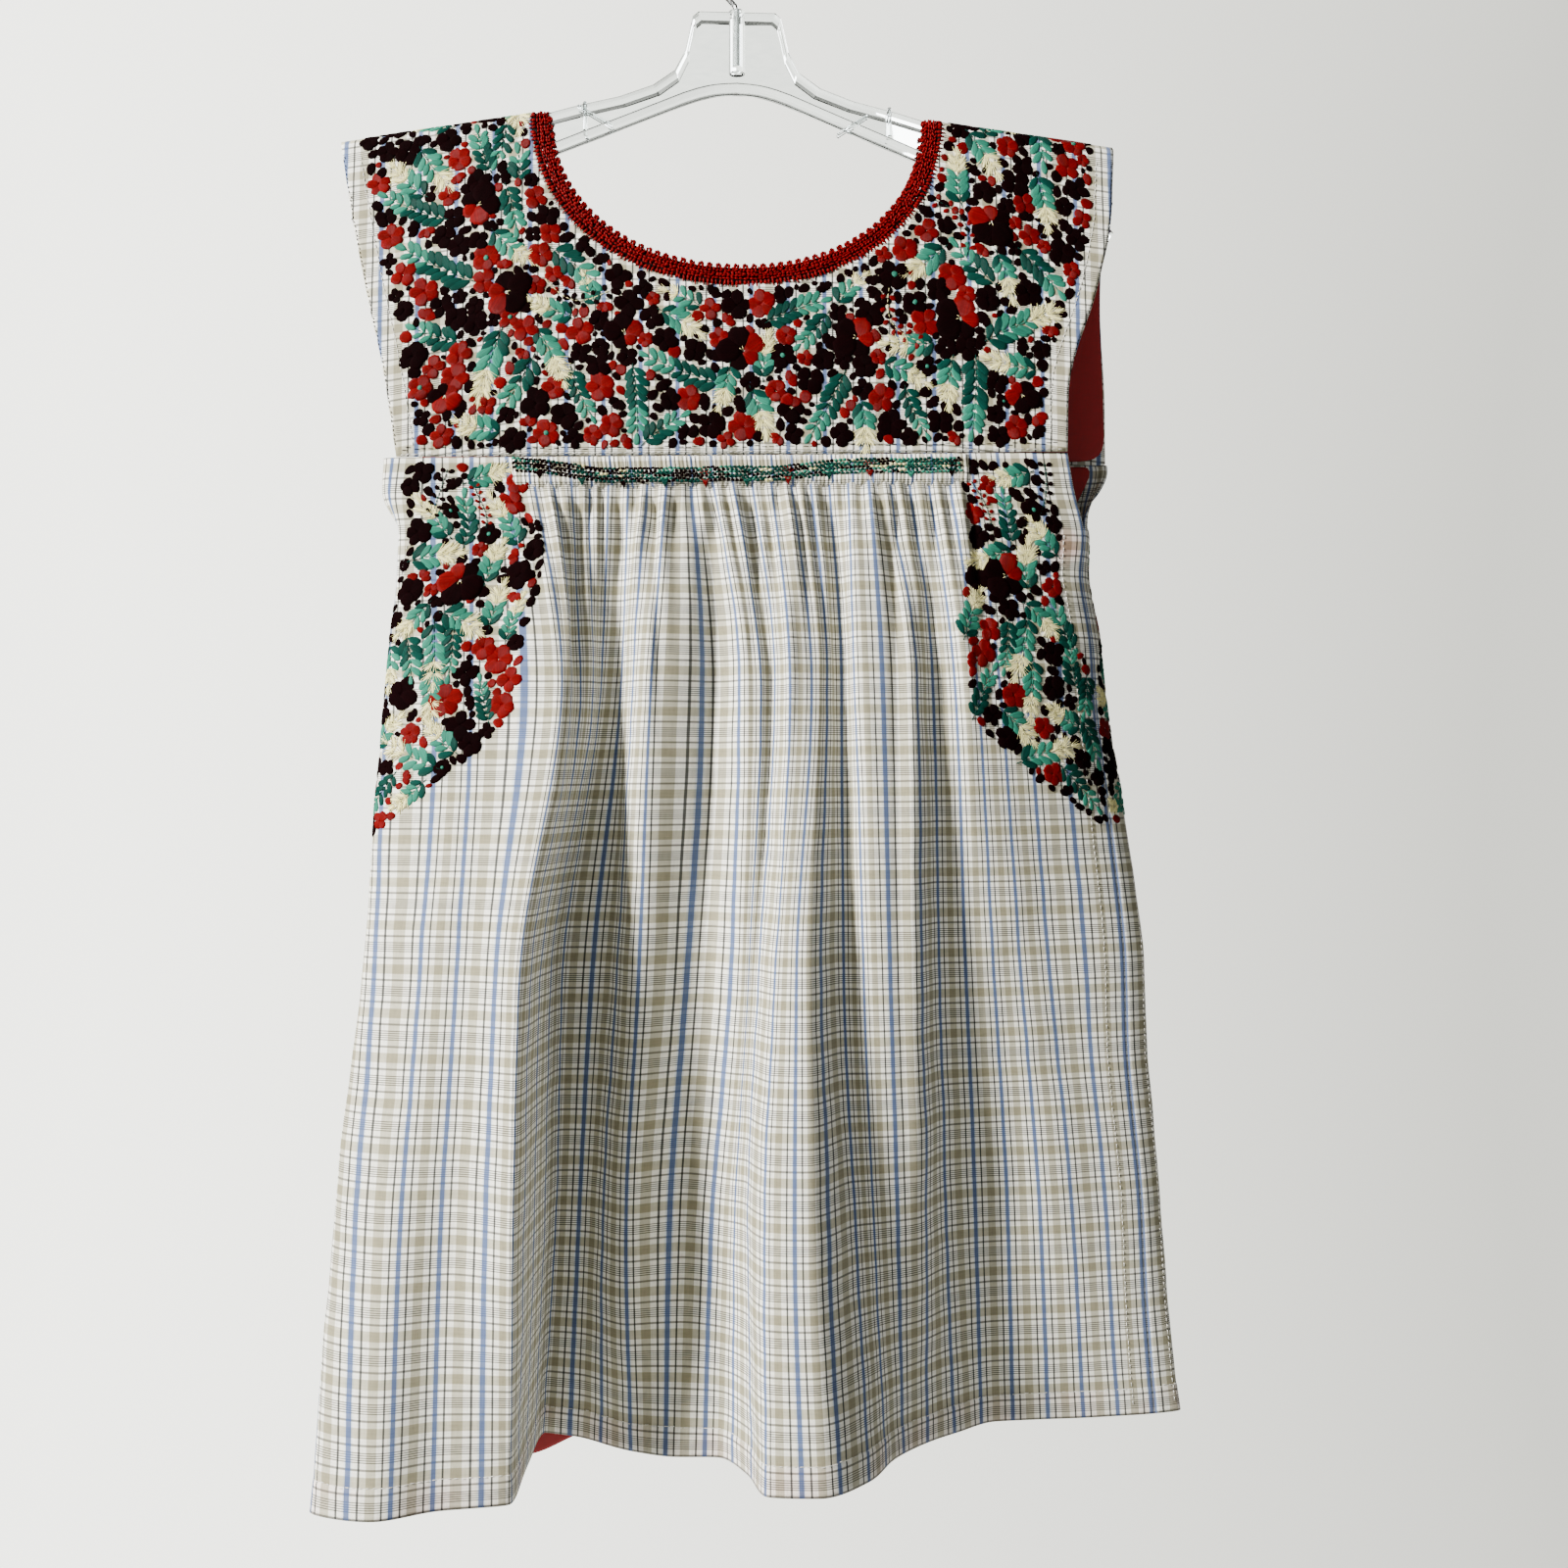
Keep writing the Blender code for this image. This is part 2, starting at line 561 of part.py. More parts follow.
def spanned(line, side, places, window, clear):
    """How far in a lining hangs at each place so that it spans the folds of a section line."""
    x, y, _ = line
    levels = []
    for place in places:
        near = np.abs(x - place) < window
        levels.append(side * np.min(side * y[near]) - side * clear if near.any() else np.nan)
    return np.array(levels)


def lining_faces(panels, rows):
    """The faces of both linings towards the cloth, which end where the hollow has no room for two."""
    gathers = np.interp(rows, [row[0] for row in GATHER_DEPTH], [row[1] for row in GATHER_DEPTH]) * MM
    ease = np.clip(rows / 0.13, 0.0, 1.0)
    faces = {name: np.zeros((len(rows), LINING_COLUMNS, 3)) for name in panels}
    for r in range(len(rows)):
        window = 0.0030 + LINING_WINDOW * ease[r]
        clear = CLOTH + SEAM_GAP + gathers[r] + LINING_CLEAR * ease[r]
        lines = {name: section_line(panel["plain"][list(LINING_ROWS)], r) for name, panel in panels.items()}
        sides = {"front": -1, "back": 1}
        places = np.arange(-0.22, 0.26, 0.001)
        levels = {name: spanned(lines[name], sides[name], places, window, clear) for name in panels}
        roomy = places[levels["back"] - levels["front"] > LINING_ROOM]
        for name, side in sides.items():
            x, _, z = lines[name]
            low, high = max(roomy.min(), x.min() + 0.001), min(roomy.max(), x.max() - 0.001)
            if name == "back" and rows[r] == 0:
                low, high = x.min() + LINING_TOP_LEFT, x.max() - LINING_TOP_RIGHT
            at = np.linspace(low, high, LINING_COLUMNS)
            faces[name][r, :, 0] = at
            faces[name][r, :, 1] = spanned(lines[name], side, at, window, clear)
            order = np.argsort(x)
            faces[name][r, :, 2] = np.interp(at, x[order], z[order])
    return faces


def build_linings(panels):
    """The linings hang from the yoke seam inside the panels and follow their main folds."""
    rows = np.array(SKIRT_ROWS)[list(LINING_ROWS)]
    faces = lining_faces(panels, rows)
    hem = faces["front"][-1]
    dip = np.clip((LINING_DIP_X[1] - hem[:, 0]) / (LINING_DIP_X[1] - LINING_DIP_X[0]), 0.0, 1.0)
    hem[:, 2] -= LINING_DIP * dip * (hem[:, 0] > LINING_DIP_X[0] - 0.010)
    for name, face in faces.items():
        side = -1 if name == "front" else 1
        inward = normals_of(face)
        inward *= np.sign(inward[:, :, 1:2]) * -side
        wall("lining_" + name, face, face + inward * LINING, "lining")


# The hanger

HANGER_TOP = ((0.0, -0.0612), (0.0215, -0.0612), (0.0248, -0.0640), (0.0262, -0.0700), (0.0290, -0.0830),
              (0.0350, -0.0945), (0.0470, -0.1030), (0.0660, -0.1100), (0.0900, -0.1158), (0.1152, -0.1231),
              (0.1400, -0.1345), (0.1700, -0.1500), (0.1950, -0.1640), (0.2080, -0.1735))
HANGER_LOW = ((0.0, -0.1072), (0.0060, -0.1074), (0.0110, -0.1080), (0.0150, -0.1088), (0.0210, -0.1104),
              (0.0280, -0.1128), (0.0380, -0.1168), (0.0560, -0.1242), (0.0800, -0.1340), (0.1020, -0.1430),
              (0.1320, -0.1560), (0.1640, -0.1700), (0.1880, -0.1820), (0.1990, -0.1905))
# Half the section's thickness on a line from the low edge to the top one: distance from the edge, then half
# thickness
RAIL_PROFILE = (
    (0.0, 0.0015), (0.0016, 0.0034), (0.0042, RAIL_HALF_THICKNESS), (RAIL_HEIGHT, WEB_HALF_THICKNESS),
)


def hanger_section(low, top):
    """Points round the hanger's section on the line between its low and top edge."""
    low, top = np.array(low), np.array(top)
    length = np.linalg.norm(top - low)
    fit = min(1.0, 0.48 * length / RAIL_HEIGHT)
    stops = [(d * fit, h) for d, h in RAIL_PROFILE]
    stops += [(length - d, h) for d, h in stops[::-1]]
    front = []
    for distance, half in stops:
        x, z = low + (top - low) * (distance / length)
        front.append((x, -half, z))
    back = [(x, -y, z) for x, y, z in front[::-1]]
    return front + back


def hanger_pairs():
    pairs = list(zip(HANGER_LOW, HANGER_TOP))
    right = pairs[:]
    left = [((-l[0], l[1]), (-t[0], t[1])) for l, t in pairs[:0:-1]]
    return left + right


def build_hanger():
    """Two rails joined by a thin web, swept from arm to arm, with a boss that holds the hook's stem."""
    sections = [hanger_section(low, top) for low, top in hanger_pairs()]
    sections = [end_section(-1)] + sections + [end_section(1)]
    count = len(sections[0])
    points = [p for section in sections for p in section]
    faces = []
    for s in range(len(sections) - 1):
        for k in range(count):
            a, b = s * count + k, s * count + (k + 1) % count
            faces.append((a, b, b + count, a + count))
    last = (len(sections) - 1) * count
    faces.append(tuple(range(count)))
    faces.append(tuple(range(last + count - 1, last - 1, -1)))
    hanger = add_mesh("hanger_body", points, faces, "clear")
    form = bmesh.new()
    form.from_mesh(hanger.data)
    bmesh.ops.recalc_face_normals(form, faces=form.faces)
    form.to_mesh(hanger.data)
    form.free()
    boss = add_cylinder("hook_boss", 0.0046, -0.0606, STEM_END_Z - 0.004)
    bore = add_cylinder("hook_bore", WIRE_RADIUS + BORE_GAP, -0.0500, STEM_END_Z - BORE_GAP)
    for tool, way in ((boss, "UNION"), (bore, "DIFFERENCE")):
        cut = hanger.modifiers.new(tool.name, "BOOLEAN")
        cut.operation = way
        cut.object = tool
        cut.solver = "EXACT"
    return hanger


def end_section(side):
    """The rounded nose of an arm, a small section just past the last full one."""
    nose = hanger_section((0.2080, -0.1915), (0.2140, -0.1800))
    middle = np.mean(nose, axis=0)
    shrink, ahead = 0.75, 0.0015
    return [(side * (middle[0] + ahead + (x - middle[0]) * shrink), y / 2, middle[2] + (z - middle[2]) * shrink)
            for x, y, z in nose]


def add_cylinder(name, radius, top, low):
    form = bmesh.new()
    bmesh.ops.create_cone(form, cap_ends=True, segments=20, radius1=radius, radius2=radius, depth=top - low)
    mesh = bpy.data.meshes.new(name)
    form.to_mesh(mesh)
    form.free()
    thing = bpy.data.objects.new(name, mesh)
    thing.location = (0.0, 0.0, (top + low) / 2)
    thing.hide_render = True
    thing.display_type = "WIRE"
    CUTTERS.objects.link(thing)
    return thing


def build_hook():
    """The wire: a stem in the boss, a bend to the left, and the hook round its bearing point."""
    radius = HOOK_RADIUS + WIRE_RADIUS
    centre = -HOOK_RADIUS
    route = [(0.0, STEM_END_Z), (0.0, -0.0600), (-0.0012, -0.0570), (-0.0050, -0.0530)]
    for k in range(19):
        angle = math.radians(232 - 13.2 * k)
        route.append((radius * math.cos(angle), centre + radius * math.sin(angle)))
    route[4:4] = [(-0.0092, -0.0480)]
    curve = bpy.data.curves.new("hanger_hook", "CURVE")
    curve.dimensions = "3D"
    curve.bevel_depth = WIRE_RADIUS
    curve.bevel_resolution = 2
    curve.use_fill_caps = True
    spline = curve.splines.new("POLY")
    spline.points.add(len(route) - 1)
    for point, (x, z) in zip(spline.points, route):
        point.co = (x, 0.0, z, 1.0)
    hook = bpy.data.objects.new("hanger_hook", curve)
    curve.materials.append(finish_for("wire"))
    PARTS.objects.link(hook)
    return hook


PARTS, CUTTERS = start()
build_yoke()
build_trim()
build_skirt()
build_hanger()
build_hook()
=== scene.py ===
# %% [markdown]
# # An embroidered blouse on a clear hanger
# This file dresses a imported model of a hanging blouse. The solids give the size and the place of every
# piece. Each cell adds one piece or one finish over them, in the order in which a maker would work.
# Everything is in metres, the front faces -Y, and the origin is where a rod carries the hook.

# %% Load the frame
import math

import bmesh
import bpy
import numpy as np
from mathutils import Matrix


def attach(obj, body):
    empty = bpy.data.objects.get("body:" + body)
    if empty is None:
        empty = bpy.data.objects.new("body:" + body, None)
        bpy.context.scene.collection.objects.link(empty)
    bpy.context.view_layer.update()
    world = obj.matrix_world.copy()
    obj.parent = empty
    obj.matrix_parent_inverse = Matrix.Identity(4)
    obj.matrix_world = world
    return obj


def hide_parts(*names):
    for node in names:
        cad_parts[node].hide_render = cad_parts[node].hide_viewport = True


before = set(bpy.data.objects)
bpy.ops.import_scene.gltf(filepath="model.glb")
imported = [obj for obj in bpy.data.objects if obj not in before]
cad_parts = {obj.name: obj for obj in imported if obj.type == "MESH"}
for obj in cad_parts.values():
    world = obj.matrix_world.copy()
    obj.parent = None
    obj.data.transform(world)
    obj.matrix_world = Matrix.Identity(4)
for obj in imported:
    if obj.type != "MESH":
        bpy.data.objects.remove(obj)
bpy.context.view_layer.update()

MM = 0.001
print("solids", sorted(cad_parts))

# %% [markdown]
# ## The camera
# The picture was taken from a step away, at the height of the chest and a little from the left, so the
# near folds look larger than the far ones. A lens of the same angle at the same place gives that back.

# %% Camera
CAMERA_PLACE = (-0.0205, -0.8988, -0.496)
CAMERA_TURN = (math.radians(90), 0.0, math.radians(-3))
SENSOR_WIDTH, FOCAL_LENGTH = 36.0, 36.56
lens = bpy.data.cameras.new("camera")
lens.sensor_width = SENSOR_WIDTH
lens.lens = FOCAL_LENGTH
camera = bpy.data.objects.new("camera", lens)
camera.location = CAMERA_PLACE
camera.rotation_euler = CAMERA_TURN
bpy.context.scene.collection.objects.link(camera)
bpy.context.scene.camera = camera
print("camera", CAMERA_PLACE)

# %% [markdown]
# ## Helpers for shader nodes
# A finish is a small graph. These helpers add a node, feed its sockets and hand back its output, so that
# the finishes below read like sums. A node group is made once, and each material places it with its own
# values.

# %% Node helpers


def node(tree, kind, feeds=None, **settings):
    """Adds a node. feeds gives a value or another node's output for each socket by name or number."""
    made = tree.nodes.new(kind)
    for key, value in settings.items():
        setattr(made, key, value)
    for socket, value in (feeds or {}).items():
        if isinstance(value, bpy.types.NodeSocket):
            tree.links.new(value, made.inputs[socket])
        else:
            made.inputs[socket].default_value = value
    return made


def calc(tree, operation, *values):
    """A Math node's result."""
    return node(tree, "ShaderNodeMath", dict(enumerate(values)), operation=operation).outputs[0]


def apart(tree, first, second):
    """How far two values lie apart."""
    return calc(tree, "ABSOLUTE", calc(tree, "SUBTRACT", first, second))


def ramp(tree, value, low, high, start=0.0, end=1.0):
    """start below low, end above high, and a straight slope between."""
    feeds = {"Value": value, "From Min": low, "From Max": high, "To Min": start, "To Max": end}
    return node(tree, "ShaderNodeMapRange", feeds).outputs["Result"]


def mix(tree, factor, first, second, mode="MIX"):
    """Two colours mixed by a factor."""
    feeds = {0: factor, 6: first, 7: second}
    return node(tree, "ShaderNodeMix", feeds, data_type="RGBA", blend_type=mode).outputs[2]


def scaled(tree, colour, value):
    """A colour made lighter or darker by a value."""
    grey = node(tree, "ShaderNodeCombineColor", {0: value, 1: value, 2: value}).outputs[0]
    return mix(tree, 1.0, colour, grey, "MULTIPLY")


def noise(tree, place, scale, detail=2.0):
    """Soft noise at a place."""
    return node(tree, "ShaderNodeTexNoise", {"Vector": place, "Scale": scale, "Detail": detail}).outputs[0]


def drawn_noise(tree, place, scales):
    """Noise that has its own scale along each axis, for yarns and scratches."""
    at = node(tree, "ShaderNodeVectorMath", {0: place, 1: scales}, operation="MULTIPLY").outputs[0]
    return noise(tree, at, 1.0)


def bump(tree, shader, height, strength, distance):
    """Feeds a height into a shader's normal."""
    made = node(tree, "ShaderNodeBump", {"Height": height, "Strength": strength, "Distance": distance})
    tree.links.new(made.outputs["Normal"], shader.inputs["Normal"])


def new_finish(name, roughness, **sockets):
    """A material, its node tree and its shader. Underscores in the sockets' names stand for spaces."""
    material = bpy.data.materials.new(name)
    material.use_nodes = True
    shader = material.node_tree.nodes["Principled BSDF"]
    shader.inputs["Roughness"].default_value = roughness
    for socket, value in sockets.items():
        shader.inputs[socket.replace("_", " ")].default_value = value
    return material, material.node_tree, shader


def new_group(name, inputs, outputs):
    """A node group with named sockets. inputs gives each socket's kind and its default value."""
    group = bpy.data.node_groups.new(name, "ShaderNodeTree")
    for socket, (kind, value) in inputs.items():
        made = group.interface.new_socket(name=socket, in_out="INPUT", socket_type=kind)
        if value is not None:
            made.default_value = value
    for socket, kind in outputs.items():
        group.interface.new_socket(name=socket, in_out="OUTPUT", socket_type=kind)
    entry = group.nodes.new("NodeGroupInput")
    leave = group.nodes.new("NodeGroupOutput")
    return group, entry.outputs, leave.inputs


def place_group(tree, group, **feeds):
    """The outputs of a group placed in a tree."""
    return node(tree, "ShaderNodeGroup", feeds, node_tree=group).outputs


def tone(red, green, blue):
    """A colour given as it looks on a screen, 0 to 255, as the shader wants it."""
    return tuple((c / 12.92 if c <= 0.04045 else ((c + 0.055) / 1.055) ** 2.4)
                 for c in (red / 255, green / 255, blue / 255)) + (1.0,)


FLOAT, COLOUR, VECTOR = "NodeSocketFloat", "NodeSocketColor", "NodeSocketVector"

# %% [markdown]
# ## Light and floor
# One small strong lamp high on the left draws the folds, as a window would. A wide weak one on the right
# keeps the shadows open, and a third lights the blouse from behind. The world is pale, and lights the
# scene less than the camera sees it, for which a Light Path node tells the two apart. Its colour darkens
# towards the right, which is painted shade like a wall away from the window. A view through the clear plastic
# finds it bright only when it goes on nearly level, so the edges that bend the view up or down look dark:
# painted shade on the plastic's edges. The floor is as far down as under a garment rail.

# %% Light and floor
# name, place, the point that it is turned to, size, watts and colour
LAMPS = (
    ("window", (-1.85, -1.10, 0.55), (0.0, 0.0, -0.45), 0.34, 235.0, (1.0, 0.98, 0.93)),
    ("bounce", (1.5, -1.3, -0.4), (0.0, 0.0, -0.5), 1.6, 4.0, (0.93, 0.96, 1.0)),
    ("behind", (0.9, 1.9, 0.7), (0.0, 0.0, -0.4), 1.2, 60.0, (1.0, 1.0, 1.0)),
)
# the world's colour: bright on the left, with painted shade towards the right
WALL_LIGHT = (1.0, 1.0, 0.92, 1.0)
WALL_PAINTED_SHADE = (0.33, 0.33, 0.30, 1.0)
# x of a direction where the wall's painted shade starts, and where it is darkest
WALL_FADE = (-0.35, 0.45)
# steepness of a direction from which the wall is dark through the plastic (painted shade on its edges), and
# up to which it is bright
LEVEL_VIEW = (0.64, 0.50)
STRENGTH_AS_LIGHT, STRENGTH_AS_SEEN = 0.25, 3.9
FLOOR_SIZE = 2.4
FLOOR_PLACE = (0.0, -0.45, -1.46)
FLOOR_TONE = (0.52, 0.52, 0.49, 1.0)


def add_lamp(name, place, aim, size, watts, colour):
    """A square area lamp at a place, turned towards a point."""
    data = bpy.data.lights.new(name, "AREA")
    data.size = size
    data.energy = watts
    data.color = colour
    lamp = bpy.data.objects.new(name, data)
    lamp.location = place
    way = np.array(aim) - np.array(place)
    lamp.rotation_euler = (math.acos(-way[2] / np.linalg.norm(way)), 0.0, math.atan2(-way[0], way[1]))
    bpy.context.scene.collection.objects.link(lamp)


def pale_room():
    """The world, which is stronger for the camera than as a light. Its colour holds painted shade towards the
    right and, through the plastic, on its steep edges.
    """
    world = bpy.data.worlds.new("pale room")
    world.use_nodes = True
    room = world.node_tree
    ray = node(room, "ShaderNodeLightPath").outputs
    way = node(room, "ShaderNodeTexCoord").outputs["Generated"]
    side_on = node(room, "ShaderNodeSeparateXYZ", {0: way}).outputs
    level = ramp(room, calc(room, "ABSOLUTE", side_on["Z"]), *LEVEL_VIEW)
    # painted shade: through the plastic the world is dark unless the view goes on nearly level
    through = calc(room, "MULTIPLY", ray["Is Transmission Ray"], level)
    seen = calc(room, "MAXIMUM", ray["Is Camera Ray"], through)
    sky = room.nodes["Background"].inputs
    room.links.new(ramp(room, seen, 0.0, 1.0, STRENGTH_AS_LIGHT, STRENGTH_AS_SEEN), sky["Strength"])
    room.links.new(mix(room, ramp(room, side_on["X"], *WALL_FADE), WALL_LIGHT, WALL_PAINTED_SHADE), sky["Color"])
    return world


for lamp_row in LAMPS:
    add_lamp(*lamp_row)
bpy.context.scene.world = pale_room()
bpy.ops.mesh.primitive_plane_add(size=FLOOR_SIZE, location=FLOOR_PLACE)
floor = bpy.context.object
floor.name = "floor"
floor_finish, _, floor_shader = new_finish("pale floor", 0.9)
floor_shader.inputs["Base Color"].default_value = FLOOR_TONE
floor.data.materials.append(floor_finish)
print("lamps", len(LAMPS), "floor at", FLOOR_PLACE)

# %% [markdown]
# ## Group: woven check
# The cloth is a light cotton check. Lengthwise there is a blue stripe every 20 mm with a thin charcoal
# line on each side of it and a beige band halfway to the next. Crosswise grey lines alternate with a solid
# beige band and with a band of fine lines. The group takes the cloth's own coordinates in metres, so
# the check follows every fold, and closes up where the cloth is gathered.

# %% Group: woven check
CREAM = tone(250, 248, 238)
BEIGE = tone(158, 152, 124)
CHARCOAL = tone(34, 36, 36)
BLUE = tone(60, 82, 128)
PALE_BLUE = tone(206, 220, 238)
GREY_LINE = tone(78, 76, 66)
WARP_REPEAT, WEFT_REPEAT = 0.0203, 0.0226
# mm from a stripe's middle at which it starts to fade, and at which it is gone
WARP_BEIGE, WARP_SHADE = (2.2, 2.5), (4.6, 4.9)
WARP_BLUE, WARP_HALO = (1.0, 1.3), (1.5, 2.0)
WARP_LINE, WEFT_LINE = (0.38, 0.60), (0.42, 0.70)
WEFT_BEIGE, WEFT_FINE = (2.3, 2.6), (2.8, 2.9)
# mm from the blue stripe to its charcoal lines, and from one fine line to the next
LINE_PLACE, FINE_PITCH = 4.5, 1.1
FINE_EDGE = (0.18, 0.30)


def stripe(distance, fade):
    """1 within a stripe and 0 outside it."""
    return ramp(check, distance, fade[0] * MM, fade[1] * MM, 1.0, 0.0)


check, given, result = new_group(
    "woven check",
    {"Vector": (VECTOR, None), "Warp Repeat": (FLOAT, WARP_REPEAT), "Weft Repeat": (FLOAT, WEFT_REPEAT)},
    {"Color": COLOUR})
split = node(check, "ShaderNodeSeparateXYZ", {0: given["Vector"]}).outputs
warp, weft = given["Warp Repeat"], given["Weft Repeat"]
along = calc(check, "FRACT", calc(check, "DIVIDE", split["X"], warp))
from_beige = calc(check, "MULTIPLY", apart(check, along, 0.5), warp)
from_blue = calc(check, "SUBTRACT", calc(check, "MULTIPLY", warp, 0.5), from_beige)
across = calc(check, "MULTIPLY", calc(check, "FRACT", calc(check, "DIVIDE", split["Y"], weft)), weft)
middle = calc(check, "MULTIPLY", weft, 0.5)
quarter = calc(check, "MULTIPLY", weft, 0.25)
from_line = calc(check, "MINIMUM", calc(check, "PINGPONG", across, middle), apart(check, across, middle))
from_fine = apart(check, across, calc(check, "MULTIPLY", quarter, 3.0))
fine_turns = calc(check, "DIVIDE", calc(check, "ADD", from_fine, FINE_PITCH * MM / 2), FINE_PITCH * MM)
fine_lines = ramp(check, apart(check, calc(check, "FRACT", fine_turns), 0.5), *FINE_EDGE, 1.0, 0.0)

# mask, strength, colour and kind of mix of each layer, from the ground up
layers = (
    (stripe(from_blue, WARP_HALO), 0.7, PALE_BLUE, "MIX"),
    (stripe(from_beige, WARP_SHADE), 0.07, BEIGE, "MIX"),
    (stripe(from_beige, WARP_BEIGE), 0.74, BEIGE, "MIX"),
    (stripe(apart(check, across, quarter), WEFT_BEIGE), 0.72, BEIGE, "MULTIPLY"),
    (calc(check, "MULTIPLY", stripe(from_fine, WEFT_FINE), fine_lines), 0.85, GREY_LINE, "MULTIPLY"),
    (stripe(from_line, WEFT_LINE), 0.80, GREY_LINE, "MIX"),
    (stripe(from_blue, WARP_BLUE), 0.9, BLUE, "MIX"),
    (stripe(apart(check, from_blue, LINE_PLACE * MM), WARP_LINE), 0.92, CHARCOAL, "MIX"),
)
made = CREAM
for mask, strength, colour, mode in layers:
    made = mix(check, calc(check, "MULTIPLY", mask, strength), made, colour, mode)
check.links.new(made, result["Color"])
print("group", check.name, "with", len(layers), "layers")

# %% [markdown]
# ## Group: plain weave
# Cotton yarns pass over and under each other about every half millimetre. Two crossed sine waves give
# that as a height for a Bump node, and a slow noise makes some yarns thicker and darker than others.
# The cloth, the lining and the smocked strip share it, each with its own pitch.

# %% Group: plain weave
weave, given, result = new_group(
    "plain weave",
    {"Vector": (VECTOR, None), "Pitch": (FLOAT, 0.0006), "Slub": (FLOAT, 0.12)},
    {"Height": FLOAT, "Tone": FLOAT})
split = node(weave, "ShaderNodeSeparateXYZ", {0: given["Vector"]}).outputs
turns = calc(weave, "DIVIDE", 2 * math.pi, given["Pitch"])
over = calc(weave, "SINE", calc(weave, "MULTIPLY", split["X"], turns))
under = calc(weave, "SINE", calc(weave, "MULTIPLY", split["Y"], turns))
uneven = calc(weave, "ADD", drawn_noise(weave, given["Vector"], (900.0, 120.0, 1.0)),
              drawn_noise(weave, given["Vector"], (120.0, 900.0, 1.0)))
weave.links.new(calc(weave, "ADD", calc(weave, "MULTIPLY", over, under), uneven), result["Height"])
slub = calc(weave, "MULTIPLY", calc(weave, "SUBTRACT", uneven, 1.0), given["Slub"])
weave.links.new(calc(weave, "ADD", calc(weave, "MULTIPLY", slub, 4.0), 1.0), result["Tone"])
print("group", weave.name)

# %% [markdown]
# ## Group: laid thread
# Satin stitch lays threads side by side. The group draws them as rounded stripes across the first
# coordinate, bent by a little noise. It gives a tone that changes from one thread to the next, with a
# painted highlight on each thread's crest and painted shade between threads. The embroidery, the crochet
# and the sewing share it.

# %% Group: laid thread
thread, given, result = new_group(
    "laid thread",
    {"Vector": (VECTOR, None), "Pitch": (FLOAT, 0.00045), "Fray": (FLOAT, 0.35)},
    {"Height": FLOAT, "Tone": FLOAT})
stir = calc(thread, "SUBTRACT", noise(thread, given["Vector"], 420.0), 0.5)
split = node(thread, "ShaderNodeSeparateXYZ", {0: given["Vector"]}).outputs
bent = calc(thread, "ADD", calc(thread, "DIVIDE", split["X"], given["Pitch"]),
            calc(thread, "MULTIPLY", stir, given["Fray"]))
ridge = calc(thread, "ABSOLUTE", calc(thread, "SINE", calc(thread, "MULTIPLY", bent, math.pi)))
number = node(thread, "ShaderNodeTexWhiteNoise", {"W": calc(thread, "FLOOR", bent)}, noise_dimensions="1D")
thread.links.new(ridge, result["Height"])
# each thread's random tone, plus a painted highlight on its rounded crest, which leaves painted shade between
# threads
shine = calc(thread, "ADD", calc(thread, "MULTIPLY", number.outputs["Value"], 0.35),
             calc(thread, "MULTIPLY", ridge, 0.30))
thread.links.new(calc(thread, "ADD", shine, 0.60), result["Tone"])
print("group", thread.name)

# %% [markdown]
# ## Cotton check and lining
# A material puts the groups to work: the check gives the colour, the weave changes it a little and feeds
# the bump. The sheen and the gloss are the same all over, so they are set on the shader itself. The
# stain of pink dye by the right armhole and the tinted hem are soft masks in the cloth's coordinates.

# %% Cotton check and lining
UV_NAME = "cloth"
HEIGHT_OF_SKIRT = 0.543
HEM_DEPTH = 0.0150
PINK = tone(235, 170, 175)
STAIN_PLACE = (0.618, 0.052)
# metres from the stain's middle at which it starts to fade and at which it is gone, and how ragged it is
STAIN_FADE, STAIN_RAGGED = (0.004, 0.012), 0.014
HEM_BLUR = 0.002


def cloth_place(tree):
    """The cloth's own coordinates."""
    return node(tree, "ShaderNodeUVMap", uv_map=UV_NAME).outputs[0]


def cotton(name, stain=None, hem=None):
    """The checked cotton. stain is the u and v of a pink spot, hem the v where the tinted hem starts."""
    material, tree, shader = new_finish(name, 0.82, Sheen_Weight=0.18, Sheen_Roughness=0.5,
                                        Specular_IOR_Level=0.3)
    at = cloth_place(tree)
    yarn = place_group(tree, weave, Vector=at, Pitch=0.00062, Slub=0.10)
    colour = scaled(tree, place_group(tree, check, Vector=at)["Color"], yarn["Tone"])
    if stain:
        away = node(tree, "ShaderNodeVectorMath", {0: at, 1: (*stain, 0.0)}, operation="DISTANCE")
        ragged = calc(tree, "SUBTRACT", noise(tree, at, 150.0, 3.0), 0.5)
        edge = calc(tree, "ADD", away.outputs["Value"], calc(tree, "MULTIPLY", ragged, STAIN_RAGGED))
        colour = mix(tree, ramp(tree, edge, *STAIN_FADE, 0.55, 0.0), colour, PINK, "MULTIPLY")
    if hem:
        down = node(tree, "ShaderNodeSeparateXYZ", {0: at}).outputs["Y"]
        below = ramp(tree, down, hem - HEM_BLUR, hem + HEM_BLUR)
        cloudy = ramp(tree, noise(tree, at, 30.0), 0.4, 0.7, 0.0, 0.3)
        colour = mix(tree, calc(tree, "MULTIPLY", below, cloudy), colour, PINK, "MULTIPLY")
    tree.links.new(colour, shader.inputs["Base Color"])
    bump(tree, shader, yarn["Height"], 0.35, 0.00012)
    return material


def lining_cloth():
    """Smooth crimson cloth, finer than the cotton."""
    material, tree, shader = new_finish("crimson lining", 0.62, Sheen_Weight=0.3, Sheen_Roughness=0.35,
                                        Sheen_Tint=tone(220, 70, 70))
    yarn = place_group(tree, weave, Vector=cloth_place(tree), Pitch=0.0004, Slub=0.08)
    tree.links.new(scaled(tree, tone(150, 4, 14), yarn["Tone"]), shader.inputs["Base Color"])
    bump(tree, shader, yarn["Height"], 0.25, 0.0001)
    return material


